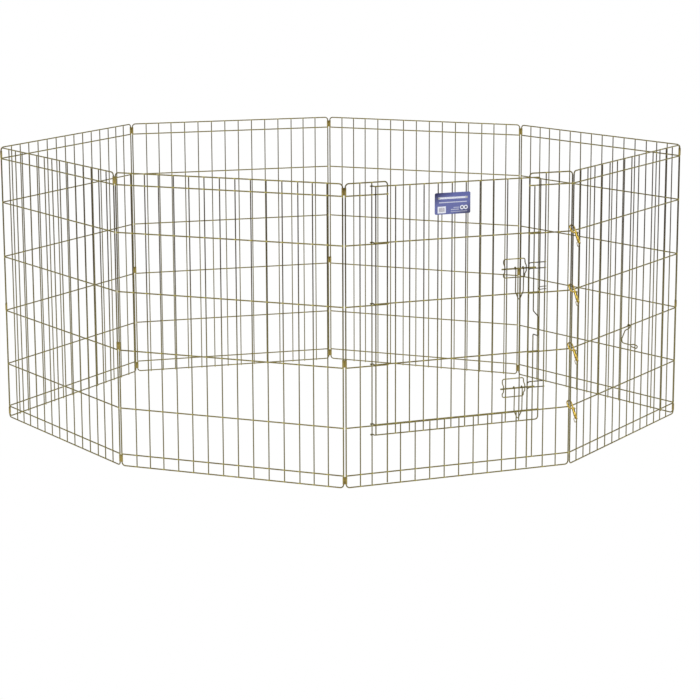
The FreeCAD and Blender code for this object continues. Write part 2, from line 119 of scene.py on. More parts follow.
def cut_away(made: bpy.types.Object, cutter: bpy.types.Object) -> None:
    """Cut one piece's shape out of another and throw the cutter away.

    Args:
        made: The piece that is cut.
        cutter: The piece that cuts it.
    """
    cut = made.modifiers.new("cut", "BOOLEAN")
    cut.operation = "DIFFERENCE"
    cut.solver = "EXACT"
    cut.object = cutter
    bpy.context.view_layer.update()
    evaluated = made.evaluated_get(bpy.context.evaluated_depsgraph_get())
    data = bpy.data.meshes.new_from_object(evaluated)
    made.modifiers.clear()
    made.data = data
    data.set_sharp_from_angle(angle=CREASE)
    bpy.data.objects.remove(cutter)


# --------------------------------------------------------------------------- shader helpers


class Sock:
    """A shader value that takes part in Python expressions; each operator adds a Math node."""

    def __init__(self, tree: bpy.types.NodeTree, socket: bpy.types.NodeSocket) -> None:
        """Hold one output socket and the tree it belongs to."""
        self.tree = tree
        self.socket = socket

    def _math(self, operation: str, one: "Value", other: "Value") -> "Sock":
        """Add one Math node and give its result."""
        return node(self.tree, "ShaderNodeMath", {"operation": operation}, {0: one, 1: other})

    def __add__(self, other: "Value") -> "Sock":
        """self + other."""
        return self._math("ADD", self, other)

    def __sub__(self, other: "Value") -> "Sock":
        """self - other."""
        return self._math("SUBTRACT", self, other)

    def __rsub__(self, other: "Value") -> "Sock":
        """other - self."""
        return self._math("SUBTRACT", other, self)

    def __mul__(self, other: "Value") -> "Sock":
        """self * other."""
        return self._math("MULTIPLY", self, other)

    def __lt__(self, other: "Value") -> "Sock":
        """1 where self is less than other."""
        return self._math("LESS_THAN", self, other)

    def __gt__(self, other: "Value") -> "Sock":
        """1 where self is more than other."""
        return self._math("GREATER_THAN", self, other)

    def absolute(self) -> "Sock":
        """The value without its sign."""
        return self._math("ABSOLUTE", self, 0.0)

    def at_most(self, other: "Value") -> "Sock":
        """The smaller of the two."""
        return self._math("MINIMUM", self, other)

    def at_least(self, other: "Value") -> "Sock":
        """The larger of the two."""
        return self._math("MAXIMUM", self, other)

    __radd__ = __add__
    __rmul__ = __mul__


Value = Union[Sock, float, tuple]


def node(
    tree: bpy.types.NodeTree, kind: str, settings: dict, inputs: dict, output: Union[int, str] = 0
) -> Sock:
    """Add one shader node.

    Args:
        tree: The node tree that takes it.
        kind: The node's type name.
        settings: Attributes set before the inputs; "stops" fills a colour ramp.
        inputs: Values or links by socket name or number.
        output: Which output to give back.

    Returns:
        The chosen output as a Sock.
    """
    made = tree.nodes.new(kind)
    for name, value in settings.items():
        if name == "stops":
            fill_ramp(made.color_ramp, value)
        else:
            setattr(made, name, value)
    for key, value in inputs.items():
        if isinstance(value, Sock):
            tree.links.new(value.socket, made.inputs[key])
        else:
            made.inputs[key].default_value = value
    return Sock(tree, made.outputs[output])


def fill_ramp(ramp: bpy.types.ColorRamp, stops: Sequence[tuple[float, tuple]]) -> None:
    """Give a colour ramp its stops.

    Args:
        ramp: The ramp, which starts with two stops.
        stops: Position and colour of each stop, in order.
    """
    while len(ramp.elements) < len(stops):
        ramp.elements.new(1.0)
    for element, (place, colour) in zip(ramp.elements, stops):
        element.position = place
        element.color = colour


def blend_colours(tree: bpy.types.NodeTree, share: Value, low: Value, high: Value) -> Sock:
    """Mix two colours.

    Args:
        tree: The node tree.
        share: How much of the second colour shows.
        low: The first colour.
        high: The second colour.

    Returns:
        The mixed colour.
    """
    settings = {"data_type": "RGBA"}
    return node(tree, "ShaderNodeMix", settings, {0: share, 6: low, 7: high}, 2)


# --------------------------------------------------------------------------- finishes


class Slot(Enum):
    """The record's material slots."""

    RAIL_WIRE = "rail_wire"
    BAR_WIRE = "bar_wire"
    CLIP_ZINC = "clip_zinc"
    SNAP_ZINC = "snap_zinc"
    SPRING_STEEL = "spring_steel"
    LABEL = "label"


class Grain(Enum):
    """Which way the fine marks of a metal run, as the stretch of its noise along X, Y and Z."""

    UPRIGHT = (1.0, 1.0, 0.04)
    LEVEL = (0.05, 0.05, 1.0)
    NONE = (1.0, 1.0, 1.0)


Colour = tuple[float, float, float, float]


@dataclass(frozen=True)
class ZincFinish:
    """Yellow-passivated zinc: gold that drifts to olive and to brown, with weld metal painted pale as a
    painted highlight; upright wires carry painted shade, darker high up and more golden at the foot, in place
    of reflections of the room and the floor.
    """

    slot: Slot
    gold: Colour
    olive: Colour
    brown: Colour
    # Pale colour of the weld metal: a painted highlight at the welds.
    weld: Colour
    grain: Grain
    # Painted shade and painted reflection on upright wires: the dark colour high up, the golden one near the
    # foot.
    upright_shade: Colour = (0.060, 0.046, 0.024, 1.0)
    foot: Colour = (0.190, 0.162, 0.052, 1.0)
    roughness: float = 0.34
    metallic: float = 0.78
    coat: float = 0.12
    bump: float = 0.10
    drift_scale: float = 34.0
    fine_scale: float = 900.0
    # Where the painted shade on upright wires starts, how fast it darkens with height, and how it fades to
    # half as dark towards the back of the pen.
    dark_above: float = 0.33
    dark_rate: float = 5.0
    far_side: float = 0.25
    far_rate: float = 2.5

    def material(self) -> bpy.types.Material:
        """Make the material.

        Returns:
            A procedural material on Object coordinates and the welds' attribute.
        """
        made = bpy.data.materials.new(self.slot.value)
        made.use_nodes = True
        tree = made.node_tree
        shader = tree.nodes["Principled BSDF"]
        place = node(tree, "ShaderNodeTexCoord", {}, {}, "Object")
        drawn = node(tree, "ShaderNodeMapping", {}, {"Vector": place, "Scale": self.grain.value})
        drift_in = {"Vector": place, "Scale": self.drift_scale, "Detail": 3.0, "Roughness": 0.6}
        drift = node(tree, "ShaderNodeTexNoise", {}, drift_in)
        haze_in = {"Vector": place, "Scale": self.drift_scale * 0.23, "Detail": 2.0}
        haze = node(tree, "ShaderNodeTexNoise", {}, haze_in)
        fine_in = {"Vector": drawn, "Scale": self.fine_scale, "Detail": 2.0}
        fine = node(tree, "ShaderNodeTexNoise", {}, fine_in)
        weld = node(tree, "ShaderNodeAttribute", {"attribute_name": "weld"}, {}, "Fac")
        film = [(0.30, self.brown), (0.50, self.gold), (0.72, self.olive)]
        ground = node(tree, "ShaderNodeValToRGB", {"stops": film}, {0: drift * 0.6 + haze * 0.4})
        # Painted shade on upright wires: darker higher up and on the near side, more golden near the foot, in
        # place of reflections of the room and the floor.
        upright = node(tree, "ShaderNodeAttribute", {"attribute_name": "upright"}, {}, "Fac")
        high = node(tree, "ShaderNodeSeparateXYZ", {}, {0: place}, "Z")
        deep = node(tree, "ShaderNodeSeparateXYZ", {}, {0: place}, "Y")
        rise = (high - self.dark_above) * self.dark_rate
        painted_shade = (rise + (drift - 0.5) * 0.6).at_least(0.0).at_most(1.0)
        painted_shade = painted_shade * ((self.far_side - deep) * self.far_rate).at_least(0.5).at_most(1.0)
        shaded_upright = blend_colours(tree, painted_shade, self.foot, self.upright_shade)
        ground = blend_colours(tree, upright * (drift * 0.25 + 0.75), ground, shaded_upright)
        soil = ((fine - 0.5) * 0.5).at_least(0.0)
        dulled = blend_colours(tree, soil, ground, self.brown)
        # The welds' pale colour is a painted highlight where bars cross the horizontal wires; their roughness
        # and bump are the weld's own.
        colour = blend_colours(tree, weld * 0.75, dulled, self.weld)
        rough = fine * 0.16 + drift * 0.10 + weld * 0.12 + (self.roughness - 0.13)
        tree.links.new(colour.socket, shader.inputs["Base Color"])
        tree.links.new(rough.socket, shader.inputs["Roughness"])
        height = fine + weld * drift
        bump_in = {"Strength": self.bump, "Distance": 0.0002, "Height": height}
        raised = node(tree, "ShaderNodeBump", {}, bump_in, "Normal")
        tree.links.new(raised.socket, shader.inputs["Normal"])
        shader.inputs["Metallic"].default_value = self.metallic
        shader.inputs["Coat Weight"].default_value = self.coat
        shader.inputs["Coat Roughness"].default_value = 0.22
        shader.inputs["Specular IOR Level"].default_value = 0.5
        return made


@dataclass(frozen=True)
class CardFinish:
    """A laminated paper card printed in violet, with plain bars and a ring on it."""

    slot: Slot
    centre: tuple[float, float]
    half_width: float
    half_height: float
    ground: Colour = (0.110, 0.128, 0.36, 1.0)
    navy: Colour = (0.022, 0.024, 0.10, 1.0)
    print_colour: Colour = (0.80, 0.82, 0.90, 1.0)
    shade: Colour = (0.25, 0.22, 0.26, 1.0)
    rows: tuple[tuple[float, ...], ...] = (
        (0.50, 0.090, -0.80, 0.84, 0.90),
        (0.10, 0.045, -0.76, 0.80, 0.65),
        (-0.40, 0.035, 0.05, 0.36, 0.55),
        (-0.58, 0.035, -0.10, 0.36, 0.60),
        (-0.78, 0.030, -0.10, 0.82, 0.45),
    )

    def material(self) -> bpy.types.Material:
        """Make the material.

        Returns:
            A procedural material whose print is laid out from the card's middle.
        """
        made = bpy.data.materials.new(self.slot.value)
        made.use_nodes = True
        tree = made.node_tree
        shader = tree.nodes["Principled BSDF"]
        place = node(tree, "ShaderNodeTexCoord", {}, {}, "Object")
        across = node(tree, "ShaderNodeSeparateXYZ", {}, {0: place}, "X") - self.centre[0]
        up = node(tree, "ShaderNodeSeparateXYZ", {}, {0: place}, "Z") - self.centre[1]
        across = across * (1.0 / self.half_width)
        up = up * (1.0 / self.half_height)
        paper_in = {"Vector": place, "Scale": 700.0, "Detail": 3.0}
        paper = node(tree, "ShaderNodeTexNoise", {}, paper_in)
        cloud_in = {"Vector": place, "Scale": 60.0, "Detail": 2.0}
        cloud = node(tree, "ShaderNodeTexNoise", {}, cloud_in)
        corner = ((across - up).absolute() * 1.1 - 1.1 + cloud * 0.4).at_least(0.0).at_most(1.0)
        ink = blend_colours(tree, corner, self.ground, self.navy)
        for high, tall, start, stop, strength in self.rows:
            line = self.block(across, up, (start, stop), (high - tall, high + tall))
            ink = blend_colours(tree, line * strength, ink, self.print_colour)
        tag = self.block(across, up, (-0.84, -0.38), (-0.88, -0.26))
        ink = blend_colours(tree, tag, ink, self.print_colour)
        stripes = node(tree, "ShaderNodeMath", {"operation": "FRACT"}, {0: across * 16.0}) < 0.55
        code = self.block(across, up, (-0.77, -0.45), (-0.76, -0.38))
        ink = blend_colours(tree, code * stripes, ink, self.shade)
        for middle in (0.53, 0.74):
            side = (across - middle) * (self.half_width / self.half_height)
            rise = up + 0.42
            reach = node(tree, "ShaderNodeMath", {"operation": "SQRT"}, {0: side * side + rise * rise})
            ink = blend_colours(tree, reach < 0.20, ink, self.print_colour)
            ink = blend_colours(tree, reach < 0.10, ink, self.navy)
        tree.links.new(ink.socket, shader.inputs["Base Color"])
        tree.links.new((paper * 0.10 + 0.26).socket, shader.inputs["Roughness"])
        bump_in = {"Strength": 0.06, "Distance": 0.0002, "Height": paper}
        raised = node(tree, "ShaderNodeBump", {}, bump_in, "Normal")
        tree.links.new(raised.socket, shader.inputs["Normal"])
        shader.inputs["Coat Weight"].default_value = 0.3
        shader.inputs["Coat Roughness"].default_value = 0.12
        return made

    @staticmethod
    def block(across: Sock, up: Sock, wide: tuple[float, float], tall: tuple[float, float]) -> Sock:
        """Mask a plain rectangle of print.

        Args:
            across: Where a spot is across the card, from -1 to 1.
            up: Where a spot is up the card, from -1 to 1.
            wide: The rectangle's left and right.
            tall: Its bottom and top.

        Returns:
            One inside, none outside.
        """
        return (across > wide[0]) * (across < wide[1]) * (up > tall[0]) * (up < tall[1])


# --------------------------------------------------------------------------- drawing wire


class Wire:
    """Draws one round wire in a mesh: its face is drawn out along each run and spun round each bend."""

    step = math.radians(13.0)
    fade = 4.5 * MM
    core = 1.4 * MM

    def __init__(self, mesh: bmesh.types.BMesh, diameter: float, sides: int = 12) -> None:
        """Prepare to draw.

        Args:
            mesh: The mesh that takes the wire.
            diameter: The wire's diameter.
            sides: How many flats its round has.
        """
        self.mesh = mesh
        self.radius = diameter / 2
        self.sides = sides
        for name in ("weld", "upright"):
            if mesh.verts.layers.float.get(name) is None:
                mesh.verts.layers.float.new(name)
        self.weld = mesh.verts.layers.float["weld"]
        self.upright = mesh.verts.layers.float["upright"]
        self.here = Vector()
        self.ahead = Vector()
        self.face: Optional[bmesh.types.BMFace] = None
        self.first: Optional[bmesh.types.BMFace] = None

    def begin(self, start: Vector, ahead: Vector) -> None:
        """Lay the wire's first end.

        Args:
            start: The middle of the end.
            ahead: The way the wire goes.
        """
        self.here = start.copy()
        self.ahead = ahead.normalized()
        turn = self.ahead.to_track_quat("Z", "Y").to_matrix().to_4x4()
        place = Matrix.Translation(start) @ turn
        made = bmesh.ops.create_circle(
            self.mesh, cap_ends=True, segments=self.sides, radius=self.radius, matrix=place
        )
        self.face = made["verts"][0].link_faces[0]
        self.first = self.face
        for corner in self.face.verts:
            corner[self.upright] = abs(self.ahead.z)

    def _step_on(self, made: Iterable) -> None:
        """Take the newest end face and drop the one it left inside the wire."""
        made = list(made)
        left = self.face
        self.face = next(part for part in made if isinstance(part, bmesh.types.BMFace))
        if left is not self.first and left.is_valid:
            bmesh.ops.delete(self.mesh, geom=[left], context="FACES_ONLY")

    def _spin(self, centre: Vector, axis: Vector, angle: float, steps: int) -> None:
        """Draw the newest end round an axis."""
        made = bmesh.ops.spin(
            self.mesh, geom=[self.face], cent=centre, axis=axis, dvec=Vector(), angle=angle,
            space=Matrix.Identity(4), steps=steps,
            use_merge=False, use_normal_flip=False, use_duplicate=False,
        )
        self._step_on(made["geom_last"])

    def run(self, distance: float, heat: float = 0.0) -> None:
        """Draw the wire straight on.

        Args:
            distance: How far.
            heat: The weld's mark at the new end, from 0 to 1.
        """
        if distance < TINY:
            return
        made = bmesh.ops.extrude_face_region(self.mesh, geom=[self.face])["geom"]
        corners = [part for part in made if isinstance(part, bmesh.types.BMVert)]
        bmesh.ops.translate(self.mesh, verts=corners, vec=self.ahead * distance)
        self._step_on(made)
        for corner in corners:
            corner[self.weld] = heat
            corner[self.upright] = abs(self.ahead.z)
        self.here = self.here + self.ahead * distance

    def run_to(self, end: Vector, welds: Sequence[Vector] = ()) -> None:
        """Draw the wire straight to a point, with a weld's mark where it passes one.

        Args:
            end: Where to stop.
            welds: Points of all welds; those near this run mark it.
        """
        start = self.here.copy()
        length = (end - start).length
        stops: list[tuple[float, float]] = []
        for point in welds:
            along = (point - start).dot(self.ahead)
            aside = (point - start - self.ahead * along).length
            if aside < 3.6 * MM and -self.core < along < length + self.core:
                for side in (-1, 1):
                    stops.append((along + side * self.fade, 0.0))
                    stops.append((along + side * self.core, 1.0))
        drawn = 0.0
        for stop, heat in sorted(stops):
            if drawn + 4 * TINY < stop < length - 4 * TINY:
                self.run(stop - drawn, heat)
                drawn = stop
        self.run(length - drawn)

    def bend(self, after: Vector, radius: float) -> None:
        """Turn the wire towards a new direction.

        Args:
            after: The direction after the bend.
            radius: The bend's radius, to the wire's middle.
        """
        angle = self.ahead.angle(after)
        axis = self.ahead.cross(after).normalized()
        centre = self.here + axis.cross(self.ahead) * radius
        drawn = len(self.mesh.verts)
        self._spin(centre, axis, angle, max(2, math.ceil(angle / self.step)))
        turn = Matrix.Rotation(angle, 3, axis)
        self.here = centre + turn @ (self.here - centre)
        between = (abs(self.ahead.z) + abs((turn @ self.ahead).z)) / 2
        self.ahead = turn @ self.ahead
        self.mesh.verts.ensure_lookup_table()
        for corner in self.mesh.verts[drawn:]:
            corner[self.upright] = between
        for corner in self.face.verts:
            corner[self.upright] = abs(self.ahead.z)

    def follow(
        self, points: Sequence[Vector], bends: Union[float, Sequence[float]], welds: Sequence[Vector] = ()
    ) -> None:
        """Draw a bent wire through its corners.

        Args:
            points: The ends and the corners.
            bends: The radius at each corner, or one for all.
            welds: Points of welds that mark the wire.
        """
        if isinstance(bends, float):
            bends = [bends] * (len(points) - 2)
        self.begin(points[0], points[1] - points[0])
        for index, radius in enumerate(bends):
            before, corner, after = points[index:index + 3]
            way_in = (corner - before).normalized()
            way_out = (after - corner).normalized()
            back = radius * math.tan(way_in.angle(way_out) / 2)
            self.run_to(corner - way_in * back, welds)
            self.bend(way_out, radius)
        self.run_to(points[-1], welds)

    def close(self) -> None:
        """Join the wire's last end to its first, with the ring of metal that a butt weld leaves."""
        edge = list(self.first.verts) + list(self.face.verts)
        for corner in edge:
            corner[self.weld] = 1.0
        bmesh.ops.delete(self.mesh, geom=[self.first, self.face], context="FACES_ONLY")
        bmesh.ops.remove_doubles(self.mesh, verts=edge, dist=0.02 * MM)


def eye_corners(centre: Vector, along: Vector, across: Vector, radius: float) -> list[Vector]:
    """Corners that carry a wire round an eye by five eighths of a turn, for bends of the eye's own radius.

    Args:
        centre: The eye's middle.
        along: The way from the middle to the eye's first side.
        across: The way from the middle to the side where the wire comes in.
        radius: The eye's radius, to the wire's middle.

    Returns:
        The corners, the wire's end last.
    """
    reach = radius * math.tan(math.radians(22.5))
    return [
        centre + along * radius + across * radius,
        centre + along * radius - across * radius,
        centre - along * reach - across * radius,
        centre - along * (radius + reach) / 2 - across * (radius - (radius - reach) / 2),
    ]


# --------------------------------------------------------------------------- pieces


@dataclass
class Workshop:
    """Holds the finishes and turns meshes into finished pieces."""

    finishes: dict[Slot, bpy.types.Material] = field(default_factory=dict)
    count: int = 0

    def piece(
        self,
        mesh: bmesh.types.BMesh,
        name: str,
        body: str,
        slot: Slot,
        replaces: Optional[str] = None,
        place: Optional[Matrix] = None,
    ) -> bpy.types.Object:
        """Finish a mesh and hang it on its body.

        Args:
            mesh: The mesh, in its own frame; it is freed here.
            name: The piece's name.
            body: The body it rides on.
            slot: The finish it takes.
            replaces: The frame's node that it stands for.
            place: Where its own frame stands in the row frame.

        Returns:
            The new object, at the origin.
        """
        if place is not None:
            bmesh.ops.transform(mesh, matrix=place, verts=mesh.verts[:])
        bmesh.ops.recalc_face_normals(mesh, faces=mesh.faces[:])
        for face in mesh.faces:
            face.smooth = True
        data = bpy.data.meshes.new(name)
        mesh.to_mesh(data)
        mesh.free()
        data.set_sharp_from_angle(angle=CREASE)
        made = bpy.data.objects.new(name, data)
        bpy.context.scene.collection.objects.link(made)
        data.materials.append(self.finishes[slot])
        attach(made, body)
        if replaces is not None:
            self.compare(made, replaces)
            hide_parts(replaces)
        self.count += 1
        return made

    def compare(self, made: bpy.types.Object, node_name: str) -> None:
        """Log how far a piece's box is from its node's box.

        Args:
            made: The new piece.
            node_name: The node that it stands for.
        """
        low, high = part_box(node_name)
        corners = [Vector(corner) for corner in made.bound_box]
        off = 0.0
        for axis in range(3):
            values = [corner[axis] for corner in corners]
            off = max(off, abs(min(values) - low[axis]), abs(max(values) - high[axis]))
        log.info("%s: %d faces, box within %.2f mm", made.name, len(made.data.polygons), off / MM)


def soften_ends(mesh: bmesh.types.BMesh, sides: int, amount: float) -> None:
    """Round off the rims of cut wire ends.

    Args:
        mesh: The mesh that holds the wires.
        sides: How many sides an end face has.
        amount: How far the rounding goes in.
    """
    ends = [face for face in mesh.faces if len(face.verts) == sides]
    rims = list({edge for face in ends for edge in face.edges})
    if rims:
        bevel(mesh, rims, amount, 2)


# --------------------------------------------------------------------------- the pen's plan


@dataclass(frozen=True)
class Place:
    """Where a panel stands: the foot of its left side wire, and its heading in degrees."""

    origin: Vector
    heading: float

    def matrix(self) -> Matrix:
        """The panel's own frame in the row frame."""
        return Matrix.Translation(self.origin) @ Matrix.Rotation(math.radians(self.heading), 4, "Z")

    def end(self, width: float) -> Vector:
        """The foot of the right side wire."""
        return self.origin + heading_vector(self.heading) * width


def heading_vector(heading: float) -> Vector:
    """Unit vector of a heading in degrees, in the ground plane."""
    return Vector((math.cos(math.radians(heading)), math.sin(math.radians(heading)), 0.0))


@dataclass(frozen=True)
class PenPlan:
    """The ring of panels: their pitch, and the turn at the corner after each."""

    pitch: float = 610.0 * MM
    clip_pitch: float = 6.6 * MM
    clip_foot: float = 12.0 * MM
    clip_gaps: tuple[float, float] = (0.3 * MM, 0.4 * MM)
    start: tuple[float, float] = (383.6 * MM, -669.2 * MM)
    ring: tuple[tuple[str, float], ...] = (
        ("door_panel", 35.5),
        ("right_front_panel", 75.5),
        ("right_back_panel", 28.5),
        ("back_right_panel", 36.0),
        ("back_left_panel", 45.0),
        ("left_back_panel", 66.5),
        ("left_front_panel", 33.5),
        ("front_panel", 39.5),
    )
    corners: tuple[tuple[str, str], ...] = (
        ("right_front_panel", "right"),
        ("right_back_panel", "back_right"),
        ("back_right_panel", "back"),
        ("back_left_panel", "back_left"),
        ("left_back_panel", "left"),
        ("left_front_panel", "front_left"),
        ("front_panel", "front"),
    )

    @property
    def width(self) -> float:
        """Between the middles of a panel's two side wires."""
        return self.pitch - self.clip_pitch

    def places(self) -> dict[str, Place]:
        """Walk round the ring.

        Returns:
            Each panel's place, by name.
        """
        turns = dict(self.ring)
        names = [name for name, _ in self.ring]
        heading = turns["door_panel"]
        at = Vector((*self.start, 0.0))
        found = {}
        for name in names[1:] + names[:1]:
            found[name] = Place(at, heading % 360)
            at = at + heading_vector(heading) * self.width
            at = at + heading_vector(heading + turns[name] / 2) * self.clip_pitch
            heading += turns[name]
        return found


# --------------------------------------------------------------------------- panels


@dataclass
class Panel:
    """One plain wire panel: a closed frame wire, six rails, and bars welded inside them."""

    shop: Workshop
    name: str
    place: Place
    width: float
    height: float = 762.0 * MM
    frame_d: float = 3.4 * MM
    rail_d: float = 3.4 * MM
    bar_d: float = 3.0 * MM
    bead: tuple[float, float, float] = (2.0 * MM, 0.62 * MM, 1.6 * MM)
    sink: float = 0.3 * MM
    bend: float = 9.0 * MM
    cut_end: float = 1.0 * MM
    rail_start: float = 0.6 * MM
    bar_edge: float = 40.9 * MM
    bar_side: float = 37.7 * MM
    middle_gaps: int = 9
    sides: int = 12

    @property
    def bottom(self) -> float:
        """Height of the bottom wire."""
        return self.cut_end + self.frame_d / 2

    @property
    def top(self) -> float:
        """Height of the top wire."""
        return self.height - self.frame_d / 2

    @property
    def rails_at(self) -> list[float]:
        """Heights of the six rails."""
        step = (self.top - self.bottom) / 5
        middle = [self.bottom + step * count for count in (1, 2, 3, 4)]
        return [self.bottom + step / 5] + middle + [self.top - step / 5]

    @property
    def bar_y(self) -> float:
        """How far in the bars stand."""
        return (self.bar_d + self.rail_d) / 2 - self.sink

    @property
    def bar_top(self) -> float:
        """Height of the bars' upper ends."""
        return self.top + 0.6 * MM

    def bars_at(self) -> list[float]:
        """Where the bars stand along the panel."""
        middle = (self.width - 2 * self.bar_edge - 4 * self.bar_side) / self.middle_gaps
        gaps = [self.bar_side] * 2 + [middle] * self.middle_gaps + [self.bar_side] * 2
        places = [self.bar_edge]
        for gap in gaps:
            places.append(places[-1] + gap)
        return places

    def crossings(self) -> list[Vector]:
        """Where bars cross the horizontal wires, on the rails' own plane."""
        heights = [self.bottom, *self.rails_at, self.top]
        return [Vector((x, 0.0, z)) for x in self.bars_at() for z in heights]

    def side_welds(self) -> list[Vector]:
        """Where the rails' ends meet the side wires."""
        return [Vector((x, 0.0, z)) for x in (0.0, self.width) for z in self.rails_at]

    def frame_wire(self) -> bmesh.types.BMesh:
        """Draw the closed frame wire, butt-welded in the middle of its foot.

        Returns:
            The mesh in the panel's own frame.
        """
        mesh = bmesh.new()
        middle = self.width / 2
        corners = [(self.width, self.bottom), (self.width, self.top), (0.0, self.top), (0.0, self.bottom)]
        points = [Vector((middle, 0.0, self.bottom))]
        points += [Vector((x, 0.0, z)) for x, z in corners]
        points.append(points[0].copy())
        wire = Wire(mesh, self.frame_d, self.sides)
        wire.follow(points, self.bend, self.crossings() + self.side_welds())
        wire.close()
        return mesh

    def rail_wires(self) -> bmesh.types.BMesh:
        """Draw the rails.

        Returns:
            The mesh in the panel's own frame.
        """
        mesh = bmesh.new()
        for z in self.rails_at:
            self.rail(mesh, self.rail_start, self.width - self.rail_start, z)
        return mesh

    def rail(self, mesh: bmesh.types.BMesh, left: float, right: float, z: float) -> None:
        """Draw one rail.

        Args:
            mesh: The mesh that takes it.
            left: Where it starts.
            right: Where it ends.
            z: Its height.
        """
        wire = Wire(mesh, self.rail_d, self.sides)
        ends = [Vector((left, 0.0, z)), Vector((right, 0.0, z))]
        wire.follow(ends, [], self.crossings() + self.side_welds())

    def bar(self, mesh: bmesh.types.BMesh, x: float, top: float) -> None:
        """Draw one bar.

        Args:
            mesh: The mesh that takes it.
            x: Where it stands along the panel.
            top: The height of its upper end.
        """
        wire = Wire(mesh, self.bar_d, self.sides)
        ends = [Vector((x, self.bar_y, 0.0)), Vector((x, self.bar_y, top))]
        wire.follow(ends, [], self.crossings())

    def bar_wires(self) -> bmesh.types.BMesh:
        """Draw the bars, with softened cut ends.

        Returns:
            The mesh in the panel's own frame.
        """
        mesh = bmesh.new()
        for x in self.bars_at():
            self.bar(mesh, x, self.bar_top)
        soften_ends(mesh, self.sides, BAR_END)
        return mesh

    def weld_beads(self) -> bmesh.types.BMesh:
        """Draw the metal squeezed out where each bar is welded to a horizontal wire.

        Returns:
            The mesh in the panel's own frame.
        """
        depth = Vector((0.0, self.rail_d / 2 - self.sink / 2, 0.0))
        return draw_beads([point + depth for point in self.crossings()], self.bead)

    def build(self) -> None:
        """Draw the panel and hang it on its body."""
        place = self.place.matrix()
        drawn = {
            "frame": (self.frame_wire(), Slot.RAIL_WIRE),
            "rails": (self.rail_wires(), Slot.RAIL_WIRE),
            "bars": (self.bar_wires(), Slot.BAR_WIRE),
        }
        for part, (mesh, slot) in drawn.items():
            node_name = self.name + "_" + part
            self.shop.piece(mesh, node_name + "_wire", self.name, slot, node_name, place)
        self.shop.piece(self.weld_beads(), self.name + "_welds", self.name, Slot.RAIL_WIRE, None, place)


